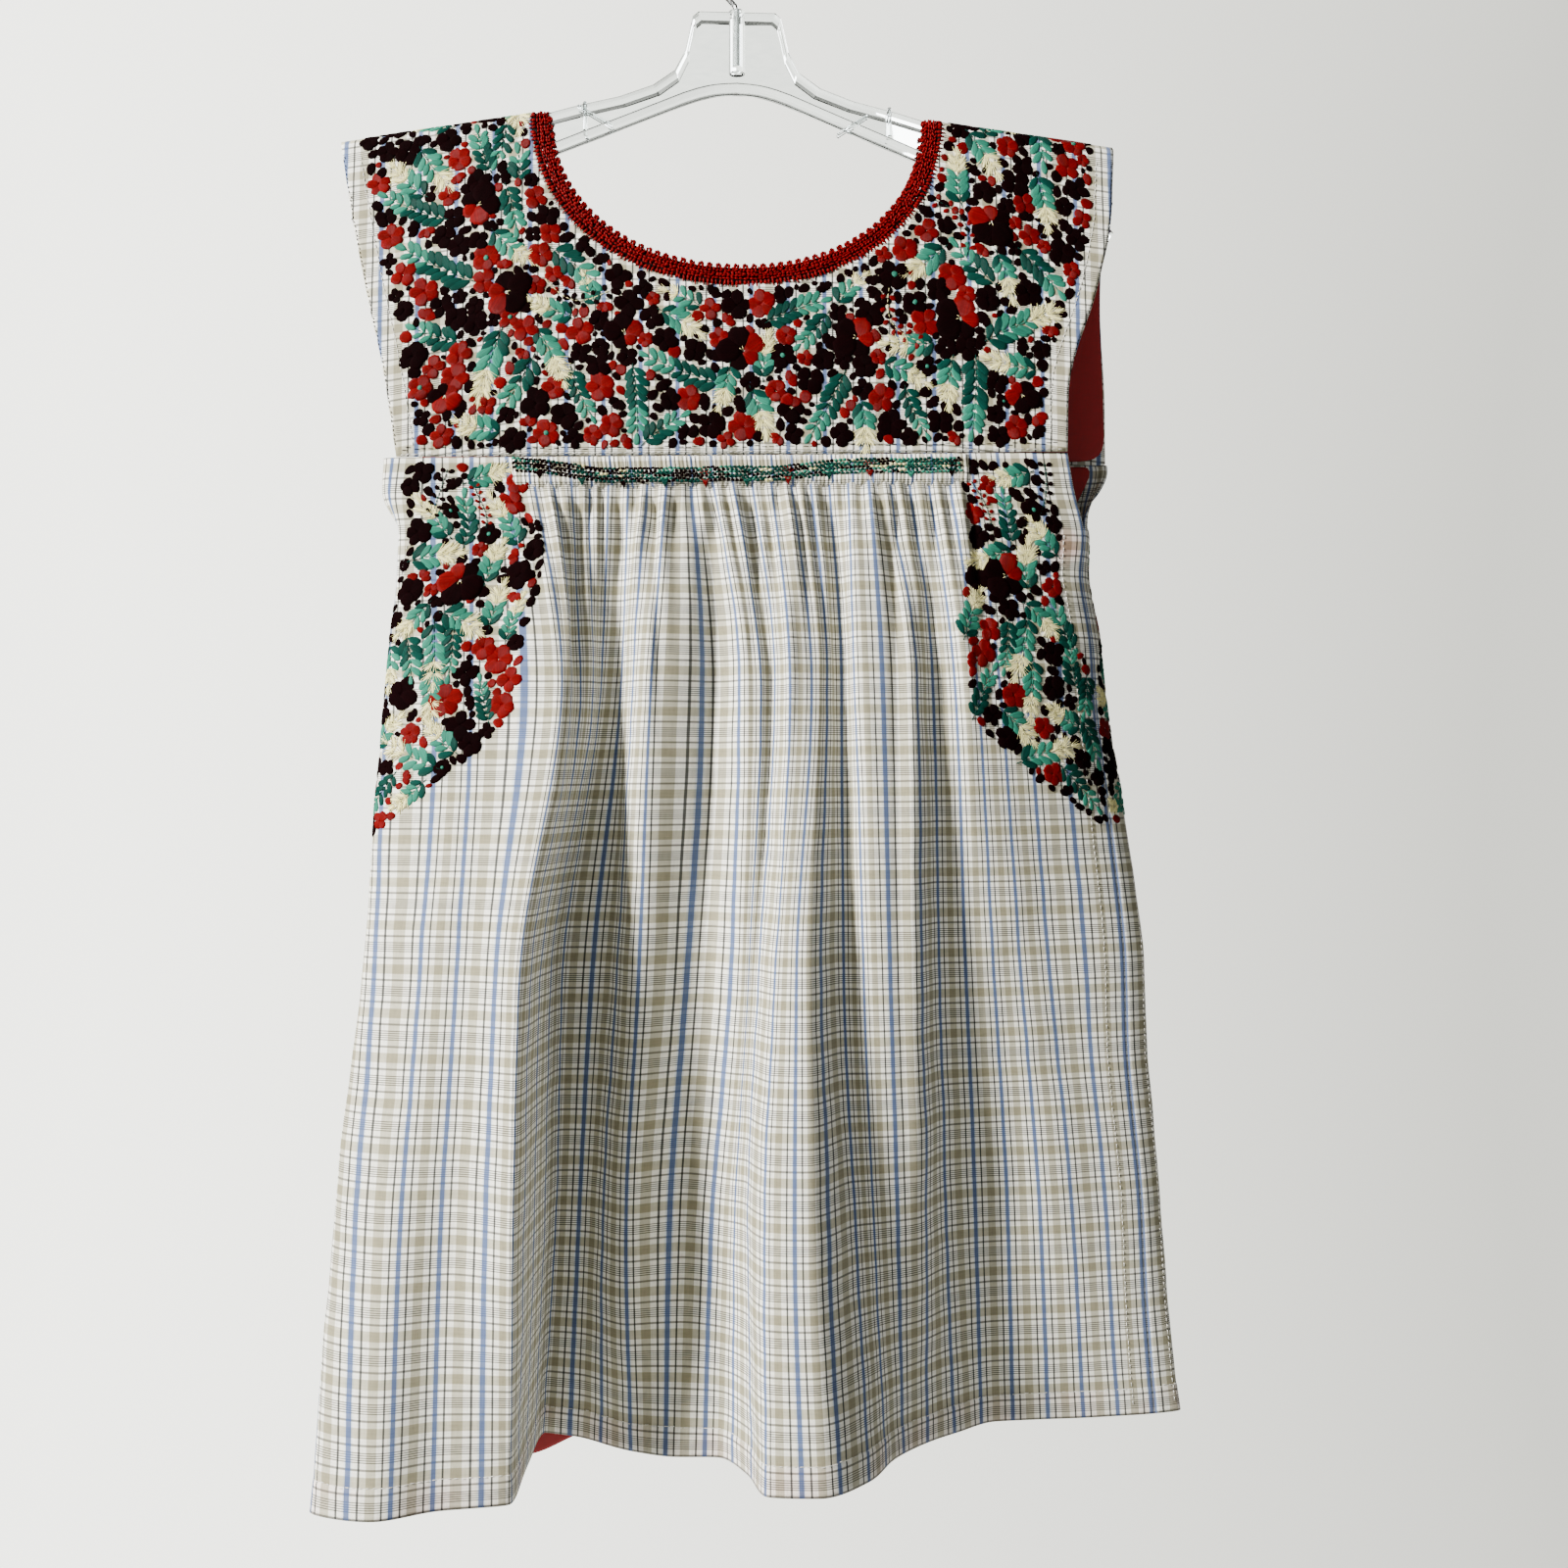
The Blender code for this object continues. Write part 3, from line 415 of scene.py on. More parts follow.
COTTON = cotton("checked cotton")
COTTON_FRONT = cotton("checked cotton front", stain=STAIN_PLACE, hem=HEIGHT_OF_SKIRT - HEM_DEPTH)
COTTON_BACK = cotton("checked cotton back", hem=HEIGHT_OF_SKIRT - HEM_DEPTH)
LINING_CLOTH = lining_cloth()
print("finishes", [m.name for m in (COTTON, COTTON_FRONT, COTTON_BACK, LINING_CLOTH)])

# %% [markdown]
# ## Helpers for meshes
# A cloth piece is a grid of points: rows run down, columns run along. A quad joins each four neighbours,
# the cloth's own coordinates go into a UV map in metres, and a Solidify modifier gives it the thickness of
# real cotton. Curves through a few stations are monotone, so that no fold swings past its neighbours.


def add_piece(name, points, faces, material, slot, uv=None):
    """A mesh object that rides on the blouse. uv gives a place in the cloth for each point."""
    mesh = bpy.data.meshes.new(name)
    mesh.from_pydata(np.asarray(points).tolist(), [], [list(map(int, face)) for face in faces])
    if uv is not None:
        layer = mesh.uv_layers.new(name=UV_NAME)
        corners = np.zeros(len(mesh.loops), np.int32)
        mesh.loops.foreach_get("vertex_index", corners)
        layer.uv.foreach_set("vector", np.asarray(uv, np.float32)[corners].ravel())
    mesh.materials.append(material)
    mesh.shade_smooth()
    piece = bpy.data.objects.new(name, mesh)
    bpy.context.scene.collection.objects.link(piece)
    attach(piece, "root")
    print(name, len(mesh.vertices), "points")
    return piece


def grid_faces(rows, cols):
    """The quads of a grid, which face outward when columns run to the viewer's right."""
    first = (np.arange(rows - 1)[:, None] * cols + np.arange(cols - 1)[None, :]).ravel()
    return np.stack([first, first + cols, first + cols + 1, first + 1], axis=1)


def add_cloth(name, grid, uv, material, slot, thickness):
    """A sheet from a grid of points, thickened inward."""
    faces = grid_faces(*grid.shape[:2])
    piece = add_piece(name, grid.reshape(-1, 3), faces, material, slot, uv.reshape(-1, 2))
    solid = piece.modifiers.new("thickness", "SOLIDIFY")
    solid.thickness = thickness
    solid.offset = -1.0
    return piece


def soft_curve(stations, values, at):
    """Smooth curves through rows of values that never swing past them."""
    stations, values, at = (np.asarray(a, float) for a in (stations, values, at))
    steps = np.diff(stations)
    climbs = np.diff(values, axis=0) / steps[:, None]
    slopes = np.zeros_like(values)
    slopes[0], slopes[-1] = climbs[0], climbs[-1]
    before, after = climbs[:-1], climbs[1:]
    first = (2 * steps[1:] + steps[:-1])[:, None]
    second = (steps[1:] + 2 * steps[:-1])[:, None]
    with np.errstate(divide="ignore", invalid="ignore"):
        mean = (first + second) / (first / before + second / after)
    slopes[1:-1] = np.where(before * after > 0, mean, 0.0)
    k = np.clip(np.searchsorted(stations, at, side="right") - 1, 0, len(stations) - 2)
    u, h = ((at - stations[k]) / steps[k])[:, None], steps[k][:, None]
    return ((1 + 2 * u) * (1 - u) ** 2 * values[k] + u * (1 - u) ** 2 * h * slopes[k]
            + u * u * (3 - 2 * u) * values[k + 1] + u * u * (u - 1) * h * slopes[k + 1])


def normals_of(grid):
    """Unit normals of a grid, outward when rows run down and columns run to the viewer's right."""
    normal = np.cross(np.gradient(grid, axis=0), np.gradient(grid, axis=1))
    return normal / np.linalg.norm(normal, axis=2)[:, :, None]


def smoothstep(value):
    """0 below 0, 1 above 1, and a soft rise between."""
    value = np.clip(value, 0.0, 1.0)
    return value * value * (3 - 2 * value)


# %% [markdown]
# ## The yoke's form
# The yoke is one cloth folded over the shoulders. Its front and back fall nearly flat from a small round
# fold over the hanger's arms. A place on it is an x and a distance down from the fold along the cloth,
# which is what an embroiderer would measure. One function turns that into a point in space.

# %% Yoke sizes
SEAM_GAP = 0.0004
FOLD_RADIUS = 0.008
SHOULDER_LINE = ((-0.2195, -0.1390), (-0.1140, -0.1206), (0.1148, -0.1206), (0.2135, -0.1330))
NECK_CENTRE = 0.0004
NECK_HALF_WIDTH = 0.1143
NECK_DEPTHS = {"front": 0.0985, "back": 0.0925}
NECK_SQUARENESS = 2.15
YOKE_SEAM_Z = -0.3143
YOKE_SEAM_TILT = 0.0195
YOKE_SWELLS = {"front": 0.014, "back": 0.009}
SIDES = {"front": -1, "back": 1}
ARMHOLES = {
    "front": {"left": ((-139, -219.5), (-180, -212.5), (-227, -203.0), (-270, -193.5), (-318, -186.0)),
              "right": ((-133, 213.5), (-178, 210.5), (-215, 202.5), (-277, 184.5), (-311, 183.5))},
    "back": {"left": ((-139, -219.5), (-180, -211.0), (-227, -198.0), (-270, -187.0), (-318, -180.0)),
             "right": ((-133, 213.5), (-178, 211.5), (-215, 210.5), (-277, 214.0), (-311, 214.5))},
}
FOLD_QUARTER = FOLD_RADIUS * math.pi / 2


def shoulder_z(x):
    return np.interp(x, [p[0] for p in SHOULDER_LINE], [p[1] for p in SHOULDER_LINE])


def yoke_seam_z(x):
    return YOKE_SEAM_Z + YOKE_SEAM_TILT * x


def armhole_x(half, edge, z):
    """x of an armhole edge at heights z."""
    table = ARMHOLES[half][edge][::-1]
    heights = np.array([row[0] for row in table]) * MM
    places = np.array([[row[1]] for row in table]) * MM
    z = np.atleast_1d(np.asarray(z, float))
    return soft_curve(heights, places, np.clip(z, heights[0], heights[-1]))[:, 0]


def yoke_y(x, z, half):
    """Depth of the yoke's outer face at x and z."""
    drop = np.maximum(shoulder_z(x) - z, 0.0)
    inside = np.minimum(drop, FOLD_RADIUS)
    rounded = np.sqrt(np.maximum(FOLD_RADIUS ** 2 - (FOLD_RADIUS - inside) ** 2, 0.0))
    share = np.clip((drop - FOLD_RADIUS) / (shoulder_z(0.0) - YOKE_SEAM_Z - FOLD_RADIUS), 0.0, 1.0)
    return SIDES[half] * (np.maximum(rounded, SEAM_GAP / 2) + YOKE_SWELLS[half] * np.sin(share * math.pi / 2))


def down_from_fold(x, z):
    """The measure along the cloth from the shoulder fold down to height z."""
    drop = np.maximum(shoulder_z(x) - z, 0.0)
    turn = np.arccos(np.clip(1 - drop / FOLD_RADIUS, 0.0, 1.0))
    return np.where(drop < FOLD_RADIUS, turn * FOLD_RADIUS, FOLD_QUARTER + drop - FOLD_RADIUS)


def neck_point(angle, half, inset=0.0):
    """x and z of the neck edge, angle from 0 at the left shoulder to pi at the right one."""
    power = 2 / NECK_SQUARENESS
    cos, sin = np.cos(angle), np.maximum(np.sin(angle), 0.0)
    x = NECK_CENTRE - (NECK_HALF_WIDTH - inset) * np.sign(cos) * np.abs(cos) ** power
    return x, SHOULDER_LINE[1][1] - (NECK_DEPTHS[half] - inset) * sin ** power


# %% [markdown]
# Worn cotton is never quite flat. A crease is a soft ridge or trough between two places in the cloth, with
# a width and a depth, which dies out at both ends. The tables are chosen for this blouse: long soft
# swells below the shoulders, and puckers where the dense embroidery pulls the cloth together.

# %% Yoke creases
# from x and down, to x and down, width and depth, all in mm. A ridge has a positive depth.
YOKE_CREASES = (
    (-150, 30, -120, 160, 16, 1.3), (-95, 45, -88, 170, 12, -0.7), (-40, 110, -52, 190, 10, 0.8),
    (20, 118, 26, 188, 12, 0.7), (88, 60, 74, 180, 14, 1.1), (150, 25, 138, 150, 15, 1.4),
    (178, 60, 168, 178, 10, -0.6), (-186, 55, -168, 165, 10, 1.0), (-60, 150, 60, 160, 9, 0.5),
    (-170, 120, -120, 140, 8, 0.6), (110, 130, 165, 118, 8, 0.6),
)
PUCKER_DEPTH = 0.35


def crease_height(u, v, creases, hung=False):
    """Height of a set of creases at places u and v in mm, in metres. A hung one is deep at its upper end."""
    height = np.zeros(np.broadcast(u, v).shape)
    for u0, v0, u1, v1, width, depth in creases:
        way = np.array([u1 - u0, v1 - v0], float)
        length = np.linalg.norm(way)
        way /= length
        ahead = (u - u0) * way[0] + (v - v0) * way[1]
        aside = (u - u0) * way[1] - (v - v0) * way[0]
        share = np.clip(ahead / length, 0.0, 1.0)
        fade = smoothstep(share / 0.10) * (1 - share) ** 0.8 if hung else np.sin(math.pi * share) ** 0.7
        height += depth * MM * fade * np.exp(-(aside / width) ** 2)
    return height


def puckers(u, v, size):
    """Small uneven waves, u and v in mm."""
    along = np.sin(u / size + 1.3 * np.sin(v / (1.7 * size)))
    across = np.sin(v / (0.8 * size) + 1.1 * np.cos(u / (2.1 * size)))
    return along * across + 0.6 * np.sin(0.47 * u / size + 0.8) * np.cos(0.61 * v / size)


# %% [markdown]
# The yoke's grid has a spoke for each column, from the neck edge to the outer edge. The spokes near a
# shoulder end on the armhole, and the others end on the seam that carries the skirt.

# %% Yoke cloth
# points down each spoke, then spokes in the fold, on the way to the seam's corner, and over the seam
YOKE_STEPS, FOLD_STEPS, EDGE_STEPS, SEAM_STEPS = 46, 9, 56, 130
CORNER_ANGLE = math.radians(38)
COTTON_THICKNESS = 0.0009
# how far the yoke's lower edge hangs over the skirt's
SEAM_LAP = {"front": 0.0, "back": 0.0016}
YOKE_PUCKER_SIZE = 5.0
# the relief starts this far from the fold, is full this much lower, and goes in no deeper than this
RELIEF_START, RELIEF_REACH, RELIEF_FLOOR = 0.010, 0.020, -0.0006


def yoke_spokes(half):
    """Inner and outer ends of the spokes, x and z, left shoulder to right, and the drops in the fold."""
    inner, outer = [], []
    fold = FOLD_RADIUS * (1 - np.cos(np.linspace(0, math.pi / 2, FOLD_STEPS)))
    for side, edge, tip_z in ((-1, "left", SHOULDER_LINE[0][1]), (1, "right", SHOULDER_LINE[3][1])):
        corner_z = yoke_seam_z(armhole_x(half, edge, YOKE_SEAM_Z)[0])
        first = math.asin((FOLD_RADIUS / NECK_DEPTHS[half]) ** (NECK_SQUARENESS / 2))
        angle = np.concatenate([np.arcsin((fold / NECK_DEPTHS[half]) ** (NECK_SQUARENESS / 2)),
                                np.linspace(first, CORNER_ANGLE, EDGE_STEPS)[1:]])
        z = np.concatenate([tip_z - fold, np.linspace(tip_z - FOLD_RADIUS, corner_z, EDGE_STEPS)[1:]])
        x_in, z_in = neck_point(angle if side < 0 else math.pi - angle, half)
        run_in = np.stack([x_in, z_in], axis=1)
        run_out = np.stack([armhole_x(half, edge, z), z], axis=1)
        inner.append(run_in[::-side])
        outer.append(run_out[::-side])
    share = np.arange(1, SEAM_STEPS) / SEAM_STEPS
    middle_x = outer[0][-1][0] + (outer[1][0][0] - outer[0][-1][0]) * share
    middle_in = np.stack(neck_point(CORNER_ANGLE + (math.pi - 2 * CORNER_ANGLE) * share, half), axis=1)
    middle_out = np.stack([middle_x, yoke_seam_z(middle_x) - SEAM_LAP[half]], axis=1)
    inner = np.concatenate([inner[0], middle_in, inner[1]])
    outer = np.concatenate([outer[0], middle_out, outer[1]])
    return inner, outer, fold


def yoke_relief(x, down, half):
    """How far the yoke stands out over its plain form."""
    u, v = x * 1000, down * 1000
    height = crease_height(u, v, YOKE_CREASES) + PUCKER_DEPTH * MM * puckers(u, v, YOKE_PUCKER_SIZE)
    lowest = RELIEF_FLOOR if half == "front" else 0.0
    return np.maximum(height, lowest) * smoothstep((down - RELIEF_START) / RELIEF_REACH)


def build_yoke_half(half):
    """The cloth of one half, from the neck edge outward."""
    inner, outer, fold = yoke_spokes(half)
    share = np.linspace(0, 1, YOKE_STEPS + 1)[:, None, None]
    plane = inner[None] + (outer - inner)[None] * share
    for k, drop in enumerate(fold):
        for column in (k, -1 - k):
            plane[:, column, 1] = shoulder_z(plane[:, column, 0]) - drop
    x, z = plane[:, :, 0], plane[:, :, 1]
    down = down_from_fold(x, z)
    y = yoke_y(x, z, half) + SIDES[half] * yoke_relief(x, down, half)
    grid = np.stack([x, y, z], axis=2)
    uv = np.stack([x + 0.5, down], axis=2)
    if half == "back":
        grid, uv = grid[:, ::-1], uv[:, ::-1]
    piece = add_cloth("cotton_yoke_" + half, grid, uv, COTTON, "plaid", COTTON_THICKNESS)
    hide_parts("yoke_" + half)


for half in SIDES:
    build_yoke_half(half)

# %% [markdown]
# ## The skirt's folds
# The skirt hangs in large soft folds. Each row of the tables is one fold line with its place, x and y,
# high up, in the middle, low and at the hem, and the rows follow each other round the skirt. The cloth's
# own measure is taken along the hem, where it isn't gathered, so a straight cut of cloth is bunched at the
# top and opens towards the hem as a real one does.

# %% Skirt tables
HEM_Z = -0.8572
UNDERARM = 0.079
SMOCK_DEPTH = 0.0345
STATIONS = (0.0, 0.232, 0.527, 0.784, 1.0)
FRONT_FOLDS = (
    ("side seam left", (-184, -8), (-190, -34), (-200, -56), (-203, -84)),
    ("left edge", (-193, -19), (-200, -46), (-211, -68), (-214, -96)),
    ("left panel", (-160, -30), (-168, -62), (-178, -88), (-181, -110)),
    ("shallow valley", (-137, -31), (-142, -68), (-149, -84), (-151, -100)),
    ("flap crest", (-96, -37), (-114, -80), (-115, -97), (-116, -94)),
    ("flap side", (-83, -25), (-104, -42), (-107, -46), (-112, -43)),
    ("deep valley", (-74, -13), (-95, -12), (-100, -8), (-107, -6)),
    ("recess", (-62, -16), (-76, -13), (-84, -12), (-88, -13)),
    ("left crest", (-46, -30), (-52, -33), (-59, -32), (-56, -34)),
    ("narrow valley", (-12, -15), (-21, -18), (-31, -24), (-34, -42)),
    ("centre crest", (6, -29), (2, -33), (-8, -36), (-11, -44)),
    ("step", (18, -25), (9, -34), (3, -46), (4, -66)),
    ("big crest left", (30, -31), (20, -52), (14, -74), (14, -93)),
    ("big crest right", (45, -29), (36, -55), (36, -78), (40, -96)),
    ("right valley", (57, -21), (57, -33), (62, -52), (66, -79)),
    ("pinched ridge", (72, -30), (76, -37), (80, -45), (84, -50)),
    ("right crest", (92, -30), (94, -35), (97, -38), (97, -36)),
    ("broad valley", (110, -20), (114, -14), (118, -14), (122, -18)),
    ("right fold edge", (126, -24), (136, -12), (144, -6), (147, -4)),
    ("right panel", (160, -19), (176, -6), (190, -3), (197, -1)),
    ("side seam right", (203, -5), (221, 3), (232, 5), (240, 3)),
)
BACK_FOLDS = (
    ("right edge", (212, 8), (235, 12), (246, 14), (256, 8)),
    ("right back panel", (188, 20), (206, 28), (216, 32), (226, 30)),
    ("right back valley", (146, 19), (156, 24), (162, 26), (166, 24)),
    ("right back crest", (108, 25), (116, 33), (122, 42), (124, 47)),
    ("back valley one", (76, 18), (80, 20), (84, 23), (85, 22)),
    ("back crest one", (50, 23), (53, 29), (56, 36), (58, 40)),
    ("back valley two", (24, 17), (26, 21), (27, 26), (28, 29)),
    ("back crest two", (-9, 27), (-10, 38), (-12, 47), (-12, 53)),
    ("back valley three", (-40, 17), (-43, 18), (-47, 20), (-50, 21)),
    ("back crest three", (-67, 22), (-68, 28), (-71, 33), (-74, 35)),
    ("back valley four", (-98, 17), (-101, 17), (-103, 20), (-103, 21)),
    ("left back crest", (-126, 20), (-130, 20), (-134, 20), (-135, 18)),
    ("left back panel", (-156, 12), (-162, 2), (-168, -12), (-170, -22)),
)
# side seam that the measure starts from, measure along the cloth, x and y at the yoke seam, in mm
SEAM_LINE = (
    ("left", 0, -189, -20), ("left", 16, -184, -22), ("left", 103, -124, -22),
    ("right", -62, 126, -22), ("right", 0, 184, -20), ("right", 17, 189, -6), ("right", 54, 178, 12),
    ("right", 114, 140, 16), ("end", -123, -130, 16), ("end", -70, -160, 12), ("end", 0, -189, -20),
)
SMOCKED = {"front": (("left", 103), ("right", -62)), "back": (("right", 114), ("end", -123))}
GATHERS = {"front": 27, "back": 19}
GATHER_DEPTH = (
    (0.0, 0.4), (SMOCK_DEPTH, 0.8), (0.048, 1.9), (0.07, 1.6), (0.11, 0.9), (0.17, 0.4), (0.26, 0.15),
    (0.36, 0.0), (0.5, 0.0),
)
SIDE_WAVES = (
    (0.0, -4.0, 0.0), (0.035, -6.0, 1.0), (0.079, 3.0, 4.0), (0.13, 4.0, -0.5), (0.19, 2.0, 1.0),
    (0.27, 0.0, -1.0), (0.38, -1.0, 0.5), (0.50, 1.0, 2.0), (0.63, -1.5, -1.0), (0.77, 0.5, 1.0),
    (0.90, -0.5, -0.5), (1.0, 0.0, 0.0),
)
SIDE_WAVE_REACH = 0.045
BACK_OPENING = {0: (0.031, 0.037), -1: (0.006, 0.037)}
ARMHOLE_SPREAD = 0.060


def skirt_loop():
    """The fold lines all round the skirt, closed, with the cloth's measure along the hem."""
    rows = FRONT_FOLDS + BACK_FOLDS
    rows += rows[:1]
    lines = np.array([row[1:] for row in rows], float) * MM
    hem = lines[:, -1, :]
    measure = np.concatenate([[0.0], np.cumsum(np.linalg.norm(np.diff(hem, axis=0), axis=1))])
    seams = {"left": 0.0, "right": measure[len(FRONT_FOLDS) - 1], "end": measure[-1]}
    known = [seams[row[0]] + row[1] * MM for row in SEAM_LINE]
    places = np.array([row[2:] for row in SEAM_LINE], float) * MM
    seam = np.stack([np.interp(measure, known, places[:, k]) for k in range(2)], axis=1)
    return np.concatenate([seam[:, None], lines], axis=1), measure, seams


LINES, MEASURE, SEAMS = skirt_loop()
SMOCK_ENDS = {half: [SEAMS[side] + reach * MM for side, reach in ends] for half, ends in SMOCKED.items()}
print("cloth round the hem", round(MEASURE[-1], 3), "m, front", round(SEAMS["right"], 3))


def skirt_form(places, rows):
    """Points of the skirt's folds at places along the hem's measure, by rows."""
    reach, total = 3, MEASURE[-1]
    wrapped = np.concatenate([LINES[-1 - reach:-1], LINES, LINES[1:1 + reach]])
    stops = np.concatenate([MEASURE[-1 - reach:-1] - total, MEASURE, MEASURE[1:1 + reach] + total])
    down = np.stack([soft_curve(STATIONS, line, rows) for line in wrapped])
    grid = np.zeros((len(rows), len(places), 3))
    for r in range(len(rows)):
        grid[r, :, :2] = soft_curve(stops, down[:, r], places)
    waves = soft_curve([row[0] for row in SIDE_WAVES], [row[1:] for row in SIDE_WAVES], rows) * MM
    from_seams = np.minimum(places, total - places), np.abs(places - SEAMS["right"])
    for side, distance in enumerate(from_seams):
        grid[:, :, 0] += waves[:, side:side + 1] * smoothstep(1 - distance / SIDE_WAVE_REACH)[None, :]
    top = yoke_seam_z(grid[0, :, 0]) - SEAM_GAP
    grid[:, :, 2] = top[None, :] + (HEM_Z - top)[None, :] * rows[:, None]
    return grid


# %% [markdown]
# Under the smocking the cloth falls in two dozen small gathers. A gather has a round top and a sharp
# valley, and no two run equally far down. Below them lie creases from wearing and folding, listed
# in the cloth's own measures, in millimetres from the left seam and from the top.

# %% Gathers and creases
# from measure and down, to measure and down, width and depth, in mm
SKIRT_CREASES = {
    "front": (
        (112, 30, 96, 150, 7, 1.6), (150, 26, 158, 190, 6, -1.6), (178, 60, 196, 240, 8, 1.4),
        (236, 30, 226, 170, 6, 1.5), (262, 60, 268, 260, 7, -1.2), (300, 25, 292, 150, 6, -1.7),
        (322, 70, 334, 280, 8, 1.6), (372, 30, 366, 160, 6, 1.4), (404, 60, 398, 250, 7, -1.3),
        (440, 28, 452, 170, 7, 1.6), (492, 40, 500, 190, 8, -1.4), (534, 30, 548, 170, 8, 1.4),
        (20, 150, 90, 172, 9, 0.9), (14, 262, 86, 250, 11, 1.0), (12, 330, 70, 352, 10, -0.9),
        (40, 392, 110, 372, 12, 0.9), (596, 160, 626, 178, 8, 0.9), (560, 250, 628, 236, 10, 0.8),
        (548, 330, 624, 352, 11, -0.8), (470, 380, 560, 352, 12, 0.8), (66, 180, 60, 520, 14, 1.2),
        (568, 200, 578, 520, 16, 1.1), (604, 300, 606, 530, 10, -0.9), (204, 300, 214, 530, 9, 1.1),
        (282, 320, 276, 520, 8, -1.0), (350, 330, 356, 532, 9, 1.2),
    ),
    "back": (
        (130, 30, 122, 170, 7, 1.5), (170, 28, 178, 200, 7, -1.4), (214, 60, 206, 250, 8, 1.5),
        (262, 30, 268, 170, 6, 1.4), (300, 60, 292, 240, 7, -1.3), (340, 28, 348, 190, 7, 1.5),
        (380, 60, 372, 260, 8, 1.2), (18, 180, 90, 200, 10, 0.9), (30, 320, 110, 300, 12, 0.9),
        (400, 220, 440, 240, 9, 0.8), (60, 200, 66, 520, 14, 1.1), (240, 300, 232, 530, 10, 1.1),
        (320, 310, 328, 530, 9, -1.0),
    ),
}
# from x and down, to x and down, width and depth, in mm, as seen from in front
FOLD_LINES = {
    "front": (
        (-64, 18, -72, 320, 4.0, -4.2), (-55, 20, -60, 330, 7, 2.6), (-47, 18, -42, 160, 3.4, -4.2),
        (-15, 16, -16, 330, 3.6, -3.8), (-24, 20, -27, 300, 6, 2.4), (8, 18, 10, 160, 3.6, -3.2),
        (-33, 18, -34, 120, 3.4, -3.0), (31, 18, 26, 190, 5, 2.6), (54, 16, 62, 300, 4.0, -4.2),
        (67, 20, 75, 320, 7, 2.8), (86, 16, 91, 420, 4.0, -4.2), (98, 40, 104, 420, 8, 2.0),
        (107, 18, 112, 220, 4, -3.4), (121, 20, 134, 240, 5, 2.8), (-98, 20, -104, 140, 5, 2.4),
        (-84, 18, -92, 190, 4, -3.6), (20, 18, 17, 110, 3.2, -2.6),
        (20, 200, 24, 420, 6, -1.1), (-36, 260, -42, 500, 5, 1.1), (140, 250, 150, 430, 8, 1.2),
        (150, 330, 186, 322, 6, 0.8), (-190, 300, -150, 312, 7, 0.7), (48, 340, 56, 520, 7, 1.0),
    ),
    "back": (
        (-80, 22, -88, 260, 4.5, -2.0), (-30, 20, -34, 200, 4, -2.2), (-20, 30, -24, 300, 6, 1.4),
        (24, 22, 30, 240, 5, -2.0), (60, 26, 68, 300, 6, 1.5), (88, 22, 96, 220, 4.5, -1.8),
        (110, 60, 122, 420, 8, 1.2), (-110, 60, -118, 400, 8, 1.2), (0, 250, 4, 500, 7, -1.0),
    ),
}
# rows lie close together at the smocking and at the hem: shares of the height, and rows between them
ROW_STOPS = (0.0, SMOCK_DEPTH, 0.16, 0.955, 1.0)
ROW_COUNTS = (8, 25, 59, 11)
# columns before the gathers, within each gather, and after them
COLUMNS_BEFORE, COLUMNS_EACH, COLUMNS_AFTER = 39, 7, 33
HEM_STEP, HEM_EDGE = 0.0004, 0.0012
SKIRT_WAVE_DEPTH, SKIRT_WAVE_SIZE = 0.00025, 9.0
# the creases die out this near to a side seam, in metres, and to the top, as a share of the height
CALM_SIDE, CALM_TOP = 0.012, 0.05
# how much narrower than the hem the front is cut at the top, up to where its gathers start
CUT_IN = 0.30


def gather_relief(share, rows, count, seed):
    """Heights of the small gathers. share runs over the smocking's width."""
    random = np.random.default_rng(seed)
    turns = count * share + 0.16 * np.sin(10 * math.pi * share) + 0.07 * np.sin(22 * math.pi * share)
    reach = np.interp(turns, np.arange(count + 1), random.uniform(0.65, 1.7, count + 1))
    size = np.interp(turns, np.arange(count + 1), random.uniform(0.45, 1.5, count + 1))
    stations, depths = np.array(GATHER_DEPTH).T
    top = np.interp(rows, stations, depths)[:, None]
    lower = np.maximum(rows[:, None] - SMOCK_DEPTH, 0.0) / reach[None, :]
    below = np.interp(SMOCK_DEPTH + lower, stations, depths)
    depth = np.where(rows[:, None] < SMOCK_DEPTH, top, below)
    ridge = 1 - 2 * np.abs(np.sin(math.pi * turns)) ** 1.35
    return depth * MM * size[None, :] * ridge[None, :]


def skirt_rows():
    """Shares of the skirt's height at which its rows lie."""
    runs = [np.linspace(low, high, count + 1)[:-1]
            for low, high, count in zip(ROW_STOPS, ROW_STOPS[1:], ROW_COUNTS)]
    return np.concatenate(runs + [[1.0]])


def open_armholes(grid, at, rows):
    """Moves the back panel's upper corners away from the front's, which leaves the armholes open."""
    opened = smoothstep(1 - rows / UNDERARM)[:, None]
    for end, (dx, dy) in BACK_OPENING.items():
        near = np.clip(1 - np.abs(at - at[end]) / ARMHOLE_SPREAD, 0.0, 1.0)[None, :] ** 1.5
        grid[:, :, 0] += opened * near * dx
        grid[:, :, 1] += opened * near * dy
    return grid


